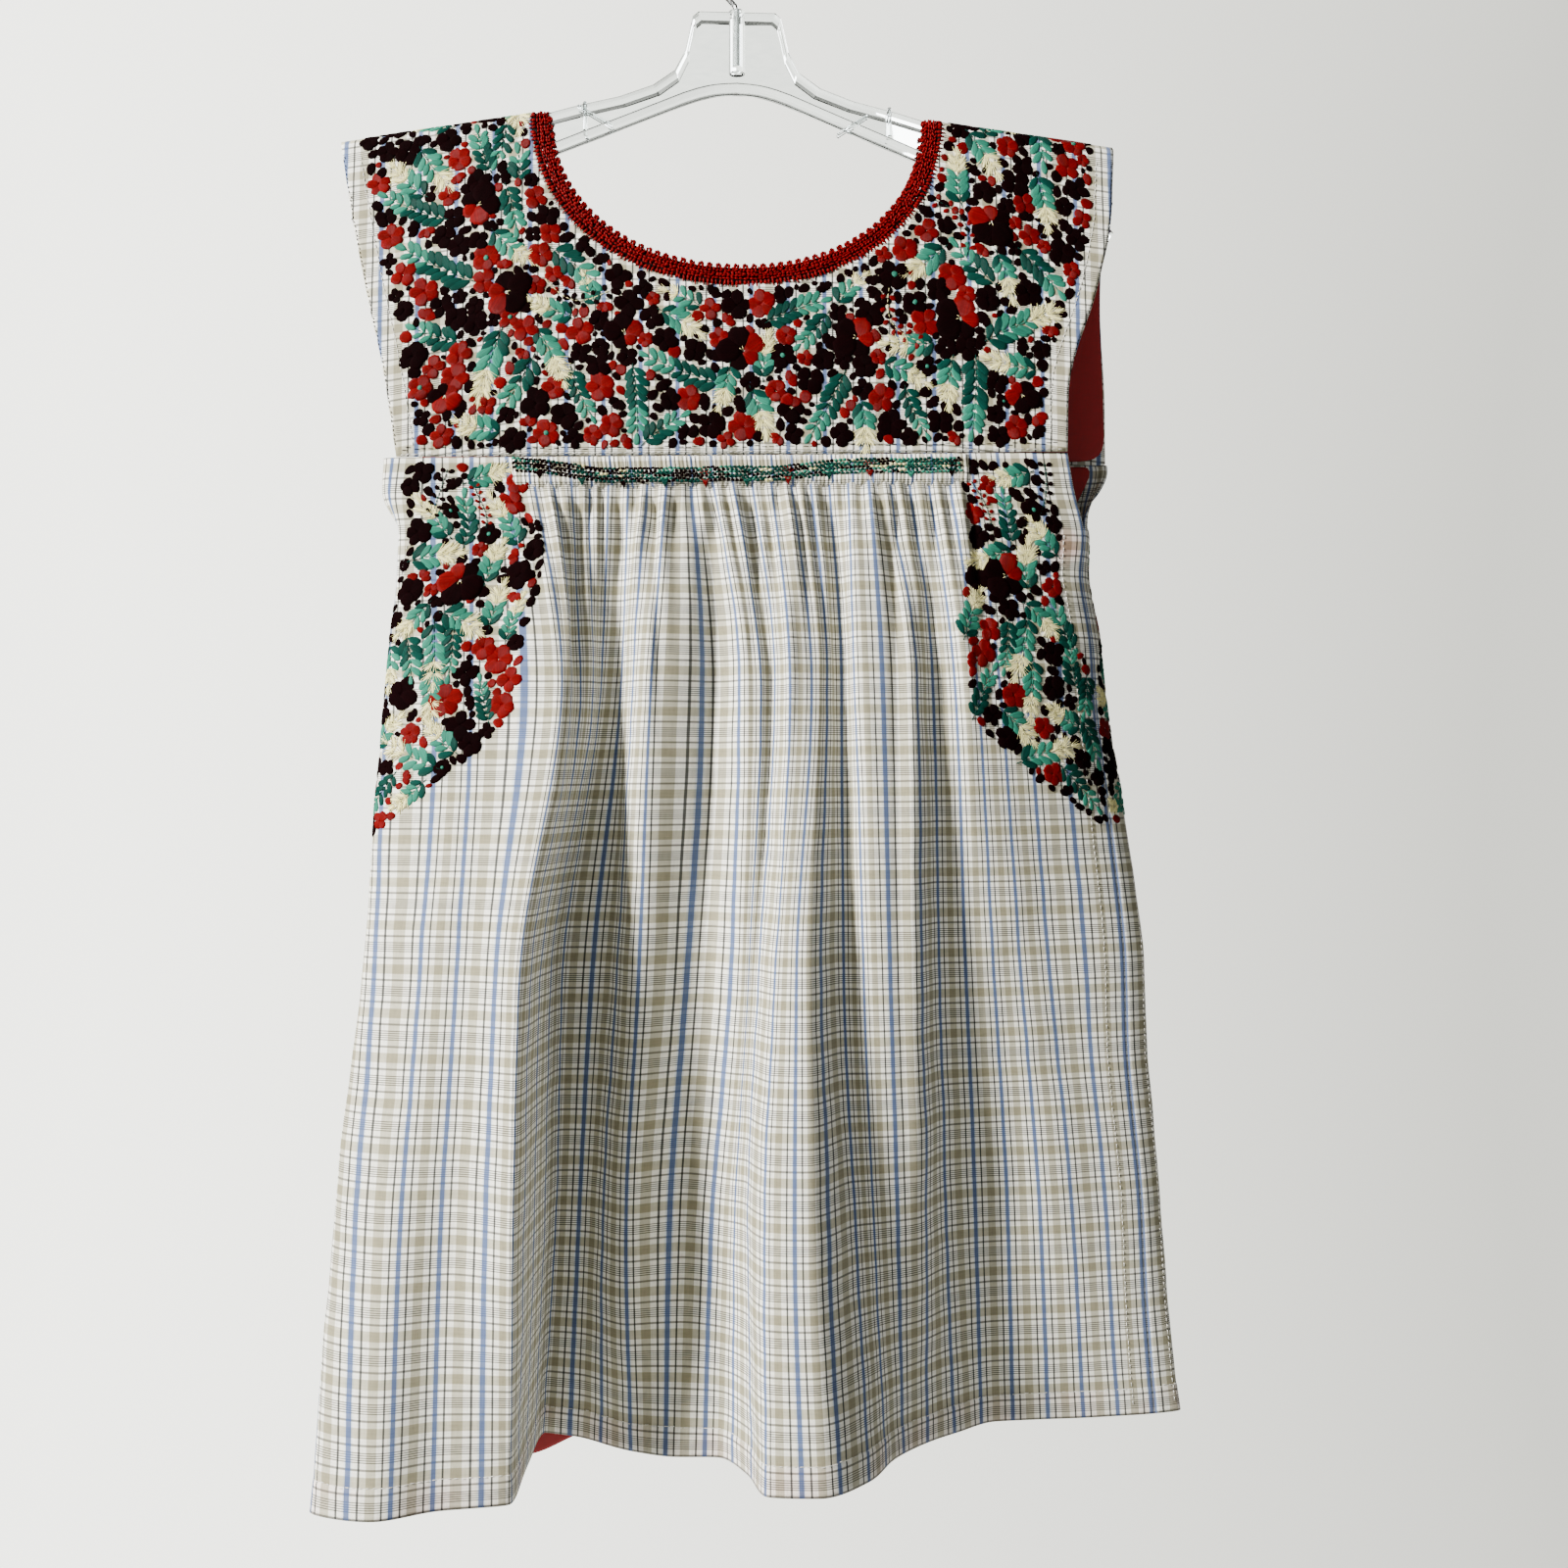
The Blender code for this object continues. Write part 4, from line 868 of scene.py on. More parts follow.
def panel_form(half):
    """A skirt panel: its points with and without the small relief, its rows, measures and cloth places."""
    start, end = (SEAMS["left"], SEAMS["right"]) if half == "front" else (SEAMS["right"], SEAMS["end"])
    first, last = SMOCK_ENDS[half]
    at = np.concatenate([np.linspace(start, first, COLUMNS_BEFORE + 1)[:-1],
                         np.linspace(first, last, GATHERS[half] * COLUMNS_EACH + 1),
                         np.linspace(last, end, COLUMNS_AFTER + 1)[1:]])
    rows = skirt_rows()
    ring = np.concatenate([[at[0] - 0.003], at, [at[-1] + 0.003]])
    plain = skirt_form(ring, rows)
    out = normals_of(plain)[:, 1:-1]
    plain = plain[:, 1:-1]
    if half == "back":
        plain = open_armholes(plain, at, rows)
        upper = rows < UNDERARM
        out[upper] = normals_of(plain)[upper]
    share = (at - first) / (last - first)
    inside = (share >= 0) & (share <= 1)
    relief = np.where(inside[None, :], gather_relief(np.clip(share, 0, 1), rows, GATHERS[half], 5), 0.0)
    ends = smoothstep(np.minimum(share, 1 - share) * GATHERS[half] * 2)
    down = (rows * HEIGHT_OF_SKIRT)[:, None]
    u, v = (at - start)[None, :] * 1000, down * 1000
    creases = crease_height(u, v, SKIRT_CREASES[half])
    creases += crease_height(plain[:, :, 0] * 1000, v, FOLD_LINES[half], True)
    calm = smoothstep(np.minimum(at - start, end - at) / CALM_SIDE)[None, :]
    calm = calm * smoothstep(rows / CALM_TOP)[:, None]
    hem = HEM_STEP * smoothstep((down - (HEIGHT_OF_SKIRT - HEM_DEPTH)) / HEM_EDGE)
    waves = SKIRT_WAVE_DEPTH * puckers(u, v, SKIRT_WAVE_SIZE)
    grid = plain + out * (relief * ends[None, :] + (creases + waves) * calm + hem)[:, :, None]
    cut_in = 1 - CUT_IN + CUT_IN * rows[:, None] if half == "front" else 1.0
    measure = np.where(at < first, first - (first - at) * cut_in, at) - start
    uv = np.stack(np.broadcast_arrays(measure, down), axis=2)
    return {"grid": grid, "plain": plain, "rows": rows, "at": at, "uv": uv, "start": start}


PANELS = {half: panel_form(half) for half in SIDES}
for half, finish in (("front", COTTON_FRONT), ("back", COTTON_BACK)):
    panel = PANELS[half]
    piece = add_cloth("cotton_skirt_" + half, panel["grid"], panel["uv"], finish, "plaid", COTTON_THICKNESS)
    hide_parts("body_" + half)

# %% [markdown]
# ## The cloth as a place to sew on
# An embroiderer works on flat cloth. A surface here is a function that takes u across and v down, in
# metres, and gives a point on the hung cloth. All that is sewn is laid out flat first, with a height over
# the cloth, and then set on it in one step. So one drawing serves the flat yoke, its fold and the skirt.

# %% Surfaces


def yoke_surface(u, v):
    """Points of the yoke. u is x, v is the measure down from the shoulder fold, negative on the back."""
    down = np.abs(v)
    turn = np.minimum(down / FOLD_RADIUS, math.pi / 2)
    drop = np.where(down < FOLD_QUARTER, FOLD_RADIUS * (1 - np.cos(turn)), down - FOLD_QUARTER + FOLD_RADIUS)
    z = shoulder_z(u) - drop
    y = np.where(v >= 0, yoke_y(u, z, "front") - yoke_relief(u, down, "front"),
                 yoke_y(u, z, "back") + yoke_relief(u, down, "back"))
    return np.stack([u, y, z], axis=-1)


def surface_of(grid, down, from_end=False):
    """A surface from a grid. u is the distance along a row from its first point, or less than 0 and back
    from its last one. v is the measure down."""
    way = -1 if from_end else 1
    grid = grid[:, ::way]
    steps = np.linalg.norm(np.diff(grid, axis=1), axis=2)
    length = np.concatenate([np.zeros((len(grid), 1)), np.cumsum(steps, axis=1)], axis=1)
    reach = np.arange(0, length[:, -1].min(), MM)
    even = np.stack([np.stack([np.interp(reach, length[r], grid[r, :, k]) for k in range(3)], axis=1)
                     for r in range(len(grid))])
    levels = np.arange(down[0], down[-1], MM)
    table = soft_curve(down, even.reshape(len(grid), -1), levels).reshape(len(levels), len(reach), 3)

    def surface(u, v):
        c = np.clip(np.asarray(u) * way / MM, 0, len(reach) - 1.001)
        r = np.clip((np.asarray(v) - down[0]) / MM, 0, len(levels) - 1.001)
        ci, ri = c.astype(int), r.astype(int)
        fc, fr = (c - ci)[..., None], (r - ri)[..., None]
        upper = table[ri, ci] * (1 - fc) + table[ri, ci + 1] * fc
        lower = table[ri + 1, ci] * (1 - fc) + table[ri + 1, ci + 1] * fc
        return upper * (1 - fr) + lower * fr

    return surface


def lay_on(surface, points):
    """Sets points given as u, v and height on a surface, with the height square to the cloth."""
    u, v, height = points[..., 0], points[..., 1], points[..., 2]
    step = 0.0005
    across = surface(u + step, v) - surface(u - step, v)
    down = surface(u, v + step) - surface(u, v - step)
    normal = np.cross(down, across)
    normal /= np.maximum(np.linalg.norm(normal, axis=-1), 1e-12)[..., None]
    return surface(u, v) + normal * height[..., None]


STRIP_REACH = 0.150
STRIPS = {}
for half in SIDES:
    panel = PANELS[half]
    down = panel["rows"] * HEIGHT_OF_SKIRT
    near_start = panel["at"] - panel["at"][0] < STRIP_REACH
    near_end = panel["at"][-1] - panel["at"] < STRIP_REACH
    STRIPS[half, "start"] = surface_of(panel["grid"][:, near_start], down)
    STRIPS[half, "end"] = surface_of(panel["grid"][:, near_end], down, from_end=True)
print("surfaces beside the seams", list(STRIPS))

# %% [markdown]
# ## Satin patches and stitches
# Thread work needs two shapes. A patch is a leaf or a petal in satin stitch: a low dome with a slightly
# ragged outline. A stitch is one short thread that dips into the cloth at both ends. Both are worked out
# for all pieces of one colour at once, and each keeps a tone of its own, as threads of one dye do.

# %% Patches and stitches
PETAL_SIDES = 9
STITCH_SIDES = 4
# share of the outline, and of the height there: the dome's ring, its shoulder and its edge in the cloth
PATCH_RINGS = ((0.55, 0.98), (0.88, 0.74), (1.0, -0.40))
# share of the length, and of the thickness and the height there
STITCH_STATIONS = ((0.0, 0.35, -0.3), (0.25, 0.9, 0.75), (0.75, 0.9, 0.75), (1.0, 0.35, -0.3))
SEWING_SEED = 3


def patch_shapes(rows, random, sides):
    """Points, thread coordinates and faces of satin patches.

    A row: u, v, turn, length, width, point, height, lift. A point over 0 narrows the far end."""
    u, v, turn, length, width, point, height, lift = (a[:, None] for a in np.asarray(rows, float).T)
    angle = np.arange(sides) * 2 * math.pi / sides
    ragged = random.uniform(0.90, 1.07, (len(u), sides))
    x = 0.5 * length * np.cos(angle) * ragged
    y = 0.5 * width * np.sin(angle) * (1 - point * np.cos(angle)) * ragged
    xs, ys, hs = [np.zeros_like(u)], [np.zeros_like(u)], [height + lift]
    for share, rise in PATCH_RINGS:
        xs.append(x * share)
        ys.append(y * share)
        hs.append(np.broadcast_to(height * rise + lift, x.shape))
    x, y, h = (np.concatenate(a, axis=1) for a in (xs, ys, hs))
    cos, sin = np.cos(turn), np.sin(turn)
    points = np.stack([u + x * cos - y * sin, v + x * sin + y * cos, h], axis=2)
    faces = []
    for k in range(sides):
        near, far = 1 + k, 1 + (k + 1) % sides
        faces.append((0, near, far, far))
        for ring in range(len(PATCH_RINGS) - 1):
            a, b = near + ring * sides, far + ring * sides
            faces.append((a, a + sides, b + sides, b))
    return points, np.stack([y, x], axis=2), faces


def stitch_shapes(rows, random, sides):
    """Points, thread coordinates and faces of single stitches. A row: u, v, far u, far v, radius, height."""
    u0, v0, u1, v1, radius, height = (a[:, None, None] for a in np.asarray(rows, float).T)
    length = np.maximum(np.hypot(u1 - u0, v1 - v0), 1e-6)
    aside_u, aside_v = (v0 - v1) / length, (u1 - u0) / length
    share, thick, rise = (np.array(column)[None, :, None] for column in zip(*STITCH_STATIONS))
    angle = (np.arange(sides) * 2 * math.pi / sides)[None, None, :]
    out = radius * thick * np.cos(angle)
    u = u0 + (u1 - u0) * share + aside_u * out
    v = v0 + (v1 - v0) * share + aside_v * out
    h = height * rise + radius * thick * np.sin(angle)
    points = np.stack(np.broadcast_arrays(u, v, h), axis=3)
    thread_uv = np.stack(np.broadcast_arrays(angle * radius + share * length * 0.35, share * length), axis=3)
    faces = []
    for s in range(len(STITCH_STATIONS) - 1):
        for k in range(sides):
            a, b = s * sides + k, s * sides + (k + 1) % sides
            faces.append((a, b, b + sides, a + sides))
    return points.reshape(len(u0), -1, 3), thread_uv.reshape(len(u0), -1, 2), faces


def sew(name, surface, material, slot, patches=(), stitches=(), seed=1, spread=0.16,
        patch_sides=PETAL_SIDES):
    """One mesh of all the patches and stitches of a colour on one surface."""
    random = np.random.default_rng(seed)
    points, places, faces, tones, base = [], [], [], [], 0
    kinds = ((patches, patch_shapes, patch_sides), (stitches, stitch_shapes, STITCH_SIDES))
    for rows, shapes, sides in kinds:
        if not len(rows):
            continue
        local, thread_uv, pattern = shapes(rows, random, sides)
        count, each = local.shape[:2]
        points.append(lay_on(surface, local).reshape(-1, 3))
        places.append(thread_uv.reshape(-1, 2))
        tones.append(np.repeat(1 + random.uniform(-spread, spread, count), each))
        offsets = base + np.arange(count)[:, None, None] * each
        faces.append((np.array(pattern)[None] + offsets).reshape(-1, 4))
        base += count * each
    faces = [row[:3] if row[2] == row[3] else row for row in np.concatenate(faces).tolist()]
    piece = add_piece(name, np.concatenate(points), faces, material, slot, np.concatenate(places))
    layer = piece.data.attributes.new("tone", "FLOAT", "POINT")
    layer.data.foreach_set("value", np.concatenate(tones).astype(np.float32))
    return piece


def running(path, stitch, gap, radius, height, wander):
    """Rows of a running stitch along a path of u and v."""
    path = np.asarray(path, float)
    length = np.concatenate([[0.0], np.cumsum(np.linalg.norm(np.diff(path, axis=0), axis=1))])
    starts = np.arange(0, length[-1] - stitch, stitch + gap)
    off = np.random.default_rng(SEWING_SEED).normal(0, wander, len(starts))[:, None]
    ends = [np.stack([np.interp(at, length, path[:, k]) for k in range(2)], axis=1) + off
            for at in (starts, starts + stitch)]
    rest = np.tile([radius, height], (len(starts), 1))
    return np.concatenate(ends + [rest], axis=1)


# %% [markdown]
# ## Thread finishes
# Embroidery floss is mercerised cotton: it has a soft gloss along the thread. Part of it comes from the
# shader, and part is a painted highlight on each thread's crest from the laid thread group. One function
# makes all the finishes, and only the dye and the pitch of the threads differ. The tone of each petal comes
# from the attribute that the sewing step wrote on the mesh.

# %% Threads


def floss(name, dye, pitch=0.00055, gloss=0.48, deep=0.55, shine=0.06):
    """Thread of one dye. deep is how strongly the single threads stand out."""
    material, tree, shader = new_finish(name, gloss, Sheen_Weight=shine * 0.15, Sheen_Roughness=0.4,
                                        Specular_IOR_Level=shine)
    laid = place_group(tree, thread, Vector=cloth_place(tree), Pitch=pitch, Fray=0.5)
    own = node(tree, "ShaderNodeAttribute", attribute_name="tone").outputs["Fac"]
    # the laid Tone holds each thread's random tone and a painted highlight on its crest
    tree.links.new(scaled(tree, dye, calc(tree, "MULTIPLY", laid["Tone"], own)), shader.inputs["Base Color"])
    bump(tree, shader, laid["Height"], deep, 0.0003)
    return material


RED_FLOSS = floss("red floss", tone(98, 0, 2))
DARK_FLOSS = floss("maroon floss", tone(11, 0, 1), shine=0.02, gloss=0.75)
TEAL_FLOSS = floss("teal floss", tone(0, 54, 46))
JADE_FLOSS = floss("jade floss", tone(42, 118, 98))
CREAM_FLOSS = floss("cream floss", tone(236, 228, 164))
CROCHET_COTTON = floss("crimson crochet cotton", tone(112, 0, 5), pitch=0.0005, gloss=0.55)
WHITE_SEWING = floss("white sewing thread", tone(240, 238, 232), gloss=0.6)
RED, DARK, TEAL, JADE, IVORY = range(5)
DYES = ((RED_FLOSS, "thread_red", "red"), (DARK_FLOSS, "thread_dark", "maroon"),
        (TEAL_FLOSS, "thread_green", "teal"), (JADE_FLOSS, "thread_green", "jade"),
        (CREAM_FLOSS, "thread_cream", "cream"))
print("dyes", [dye[2] for dye in DYES])

# %% [markdown]
# ## Flowers and leaves
# The motifs are the everyday ones of such blouses: pansies, five-petalled blossoms, buds, sprigs and
# tendrils. Each function draws one round the origin in millimetres, as a list of petals and a list of
# stitches, and it varies a little each time, as handwork does.

# %% Motifs
draw = np.random.default_rng(20)
PANSY_PETALS = (14.5, 13.5, 12.5, 9.5, 11.0)


def petal(dye, distance, angle, length, width, point, height):
    """A petal whose middle lies at a distance and an angle from the flower's middle."""
    u, v = distance * math.cos(angle), distance * math.sin(angle)
    return (dye, u, v, angle, length, width, -point, height)


def pansy(first=DARK, second=RED):
    """Three wide petals and two small ones, with a few cream stitches in the eye."""
    start = draw.uniform(-0.2, 0.2)
    petals = []
    for k, (dye, size) in enumerate(zip((first, first, second, second, first), PANSY_PETALS)):
        around = start + k * 2 * math.pi / 5
        petals.append(petal(dye, size * 0.50, around, size, size * 0.98, 0.1, 0.85 - 0.07 * k))
    eye = [(IVORY, 0.6 * math.cos(a), 0.6 * math.sin(a), 2.6 * math.cos(a), 2.6 * math.sin(a), 0.2, 1.25)
           for a in (start + 0.4, start + 1.3)]
    return petals, eye


def blossom(dye, size, count, heart=None):
    """A ring of rounded petals, with a knot in its middle when heart names a dye."""
    start = draw.uniform(0, 2 * math.pi)
    petals = []
    for k in range(count):
        wide = size * draw.uniform(0.42, 0.62)
        petals.append(petal(dye, size * 0.25, start + k * 2 * math.pi / count + draw.uniform(-0.2, 0.2),
                            size * draw.uniform(0.48, 0.64), wide, 0.12, draw.uniform(0.45, 0.65)))
    if heart is not None:
        petals.append(petal(heart, 0.0, start, size * 0.2, size * 0.2, 0.0, 1.0))
    return petals, []


def bud(dye, size):
    """Three narrow petals that rise from one point."""
    return [petal(dye, size * 0.30, a, size * 0.62, size * 0.44, 0.2, 0.55) for a in (-0.75, 0.0, 0.75)], []


def dot(dye, size):
    """A single small petal."""
    return [petal(dye, 0.0, 0.0, size, size * draw.uniform(0.62, 0.95), 0.15, 0.5)], []


def sprig(length, pairs, leaf, dyes, bend=5.0, mirror=False):
    """A bent stem with leaves in pairs, whose dye changes from the root to the tip."""
    petals, stitches = [], []
    stem = [(x, bend * (x / length) ** 2) for x in np.linspace(0, length * 0.92, 9)]
    for k, ((x0, y0), (x1, y1)) in enumerate(zip(stem[:-1], stem[1:])):
        dye = dyes[min(k * len(dyes) // 8, len(dyes) - 1)]
        stitches.append((dye, x0, y0, x1, y1, 0.32, 0.45))
    for k in range(pairs + 1):
        share = (k + 0.7) / (pairs + 0.7)
        x, y = length * share * 0.9, bend * (share * 0.9) ** 2
        along = math.atan2(2 * bend * x, length ** 2)
        dye = dyes[min(int(share * len(dyes)), len(dyes) - 1)]
        opening = (0.0,) if k == pairs else (0.72, -0.72)
        for lean in opening:
            turn = along + lean * draw.uniform(0.85, 1.15)
            size = leaf * draw.uniform(0.9, 1.2) * (1.05 - 0.30 * share)
            wide = size * (0.20 if dye == IVORY else 0.46)
            petals.append((dye, x + 0.52 * size * math.cos(turn), y + 0.52 * size * math.sin(turn), turn,
                           size, wide, -0.28, 0.5))
            if dye == IVORY:
                for side in (-0.45, -0.22, 0.22, 0.45):
                    near, far = turn + side, size * draw.uniform(0.85, 1.2)
                    end = x + far * math.cos(near), y + far * math.sin(near)
                    stitches.append((IVORY, x, y, *end, 0.24, 0.5))
    if mirror:
        petals = [(d, u, -v, -t, le, w, p, h) for d, u, v, t, le, w, p, h in petals]
        stitches = [(d, a, -b, c, -e, r, h) for d, a, b, c, e, r, h in stitches]
    return petals, stitches


def tendril(length, bend, stem, dye, count):
    """A long thin arc with small petals on both sides."""
    places = [(x, bend * math.sin(math.pi * x / length)) for x in np.linspace(0, length, 15)]
    stitches = [(stem, *a, *b, 0.30, 0.5) for a, b in zip(places[:-1], places[1:])]
    petals = []
    for k in range(count):
        share = (k + 0.6) / count
        x, y = length * share, bend * math.sin(math.pi * share)
        along = math.atan2(bend * math.pi * math.cos(math.pi * share), length)
        for turn in (along - 1.1, along + 1.1):
            petals.append((dye, x + 3.0 * math.cos(turn), y + 3.0 * math.sin(turn), turn,
                           4.2, 3.0, -0.15, 0.6))
    return petals, stitches


def placed(motif, u, v, turn, size=1.0):
    """A motif moved to u and v, turned and sized, in metres. Rows are lists with the dye first."""
    petals, stitches = motif
    cos, sin = math.cos(turn) * size, math.sin(turn) * size

    def spot(x, y):
        return u + (x * cos - y * sin) * MM, v + (x * sin + y * cos) * MM

    out_petals = [(dye, *spot(x, y), lean + turn, length * size * MM, width * size * MM, point,
                   height * MM, 0.0) for dye, x, y, lean, length, width, point, height in petals]
    out_stitches = [(dye, *spot(x, y), *spot(far_x, far_y), radius * MM, height * MM)
                    for dye, x, y, far_x, far_y, radius, height in stitches]
    return out_petals, out_stitches


# %% [markdown]
# ## Filling the cloth
# The flowers crowd each other and overlap only a little. A ground keeps a map of the free cloth in small
# squares. Large motifs go on first, at listed places. Then smaller and smaller ones are thrown at free
# places, and stay where they fit, which is much how a busy pattern is filled with a needle.

# %% Ground
CELL = 0.0006
# a petal is tested and marked on rings of these shares, at these angles, and marked this much larger
RING_TESTS = np.linspace(0.0, 1.0, 4)
RING_MARKS = np.linspace(0.0, 1.0, 9)
RING_ANGLES = np.arange(18) * math.pi / 9
MARK_GROWTH = 0.0004
THROWN_SIZES = (0.9, 1.1)


class Ground:
    """The free places of a piece of cloth, and what is sewn on it."""

    def __init__(self, low, high, free):
        self.low = np.array(low)
        size = np.ceil((np.array(high) - self.low) / CELL).astype(int)
        u = self.low[0] + (np.arange(size[0]) + 0.5) * CELL
        v = self.low[1] + (np.arange(size[1]) + 0.5) * CELL
        self.free = free(u[:, None], v[None, :])
        self.room = int(self.free.sum())
        self.petals, self.stitches = [], []

    def cells(self, petals, rings, growth):
        """The squares under a motif's petals."""
        _, u, v, turn, length, width = np.array(petals, float).T[:6, :, None, None]
        x = 0.5 * (length + growth) * np.cos(RING_ANGLES) * rings[:, None]
        y = 0.5 * (width + growth) * np.sin(RING_ANGLES) * rings[:, None]
        cos, sin = np.cos(turn), np.sin(turn)
        places = np.stack([u + x * cos - y * sin, v + x * sin + y * cos], axis=-1).reshape(-1, 2)
        return np.floor((places - self.low) / CELL).astype(int)

    def blocked(self, petals):
        """The share of a motif that lies over something else."""
        index = self.cells(petals, RING_TESTS, 0.0)
        inside = ((index >= 0) & (index < self.free.shape)).all(axis=1)
        index = np.clip(index, 0, np.array(self.free.shape) - 1)
        return 1 - (self.free[index[:, 0], index[:, 1]] & inside).mean()

    def add(self, motif, most):
        """Keeps a motif, unless more than this share of it is blocked."""
        petals, stitches = motif
        if self.blocked(petals) > most:
            return False
        self.petals += petals
        self.stitches += stitches
        index = np.clip(self.cells(petals, RING_MARKS, MARK_GROWTH), 0, np.array(self.free.shape) - 1)
        self.free[index[:, 0], index[:, 1]] = False
        return True

    def throw(self, make, tries, most):
        """Throws motifs at free places. Gives how many stayed."""
        stayed = 0
        free = np.argwhere(self.free)
        for _ in range(tries):
            index = free[draw.integers(len(free))]
            if not self.free[tuple(index)]:
                continue
            u, v = self.low + (index + 0.5) * CELL
            turn = draw.uniform(0, 2 * math.pi)
            stayed += self.add(placed(make(), u, v, turn, draw.uniform(*THROWN_SIZES)), most)
        return stayed

    def finish(self, name, surface, seed):
        """Sews everything, one mesh for each dye."""
        made = []
        for dye, (material, slot, word) in enumerate(DYES):
            petals = [row[1:] for row in self.petals if row[0] == dye]
            stitches = [row[1:] for row in self.stitches if row[0] == dye]
            if petals or stitches:
                made.append(sew(f"{name}_{word}", surface, material, slot, petals, stitches, seed + dye))
        covered = 1 - self.free.sum() / self.room
        print(name, len(self.petals), "petals", len(self.stitches), "stitches", round(covered, 2), "covered")
        return made


# %% [markdown]
# ## The yoke's embroidery
# The yoke is worked all over, front and back, up to a plain strip along the armholes and the seam. The
# large pansies stand two on each shoulder and three below the neck, each with sprigs that turn from teal
# to cream. Blossoms, buds and dots fill the rest, and tendrils lie near the neck.

# %% Yoke embroidery
ARMHOLE_MARGIN = 0.0125
SEAM_MARGIN = 0.0045
NECK_MARGIN = 0.0030
# x, down, turn in degrees, size, first and second dye
PANSIES = (
    (-143, 56, -60, 1.00, DARK, RED), (-127, 108, -20, 1.12, DARK, RED), (-62, 132, 200, 0.92, DARK, RED),
    (3, 141, 180, 1.10, DARK, RED), (66, 133, 150, 1.08, DARK, RED), (124, 120, 150, 1.15, DARK, RED),
    (142, 62, 60, 1.12, DARK, RED), (-160, 160, 30, 0.8, RED, DARK), (158, 158, 10, 0.85, DARK, RED),
    (30, 172, 90, 0.7, DARK, RED),
)
# x, down, turn in degrees, length, leaf, and whether it starts pale
SPRIGS = (
    (-158, 62, 185, 34, 8, 0), (-136, 70, 70, 26, 7, 1), (-122, 48, -40, 24, 8, 0),
    (-143, 100, 190, 40, 9, 0), (-128, 126, 115, 34, 9, 1), (-112, 128, 55, 30, 8, 1),
    (-150, 132, 160, 30, 8, 0), (-76, 118, 230, 16, 6, 1), (-58, 148, 80, 34, 8, 0),
    (-45, 118, 20, 22, 8, 1), (-8, 160, 160, 38, 8, 0), (6, 160, 60, 34, 9, 1),
    (14, 126, -30, 30, 8, 0), (-18, 118, 200, 24, 7, 1), (60, 150, 95, 36, 8, 0),
    (78, 146, 15, 24, 7, 1), (54, 116, -60, 20, 7, 1), (136, 132, -35, 42, 9, 1),
    (112, 134, 150, 30, 8, 1), (132, 138, 70, 38, 9, 0), (120, 140, 105, 30, 8, 1),
    (156, 74, 35, 34, 9, 0), (126, 56, -120, 26, 8, 1), (168, 28, 70, 26, 8, 1),
    (-176, 16, 100, 26, 8, 1), (-128, 8, 75, 20, 7, 0), (92, 158, 40, 26, 7, 0), (-92, 150, 110, 26, 7, 0),
)
# x, down, turn in degrees, dye of the petals and of the stem
TENDRILS = (
    (-106, 102, 10, DARK, IVORY), (84, 104, 60, RED, IVORY), (128, 84, -120, RED, TEAL),
    (-88, 176, 0, RED, JADE), (110, 172, -20, RED, JADE),
)
BACK_SHIFT = 9
FRESH = (TEAL, TEAL, TEAL, JADE, JADE)
PALE = (TEAL, JADE, JADE, IVORY, IVORY)


def free_yoke(x, v):
    """Where the yoke may be embroidered."""
    z = yoke_surface(x + 0 * v, v + 0 * x)[:, :, 2]
    free = z > yoke_seam_z(x) + SEAM_MARGIN
    for half, side in (("front", v >= 0), ("back", v < 0)):
        left = armhole_x(half, "left", z.ravel()).reshape(z.shape) + ARMHOLE_MARGIN
        right = armhole_x(half, "right", z.ravel()).reshape(z.shape) - ARMHOLE_MARGIN
        wide, deep = NECK_HALF_WIDTH + NECK_MARGIN, NECK_DEPTHS[half] + NECK_MARGIN
        drop = SHOULDER_LINE[1][1] - z
        opening = (np.abs((x - NECK_CENTRE) / wide) ** NECK_SQUARENESS
                   + np.maximum(drop / deep, 0.0) ** NECK_SQUARENESS) < 1
        free &= ~side | ((x > left) & (x < right) & ~opening)
    return free


def red_or_dark(share):
    """Red for this share of the flowers, and maroon for the rest."""
    return RED if draw.uniform() < share else DARK


def blossoms_of(sizes):
    """A maker of blossoms, most of them dark."""
    return lambda: blossom(red_or_dark(0.38), draw.uniform(*sizes), int(draw.integers(4, 6)),
                           JADE if draw.uniform() < 0.06 else None)


def buds_of(size):
    """A maker of buds."""
    return lambda: bud(red_or_dark(0.38), size)


def dots_of(size):
    """A maker of single petals."""
    return lambda: dot(red_or_dark(0.25), size)


def sprigs_of(length, leaf, pale_share):
    """A maker of sprigs with five pairs of leaves."""
    return lambda: sprig(length, 5, leaf, PALE if draw.uniform() < pale_share else FRESH)


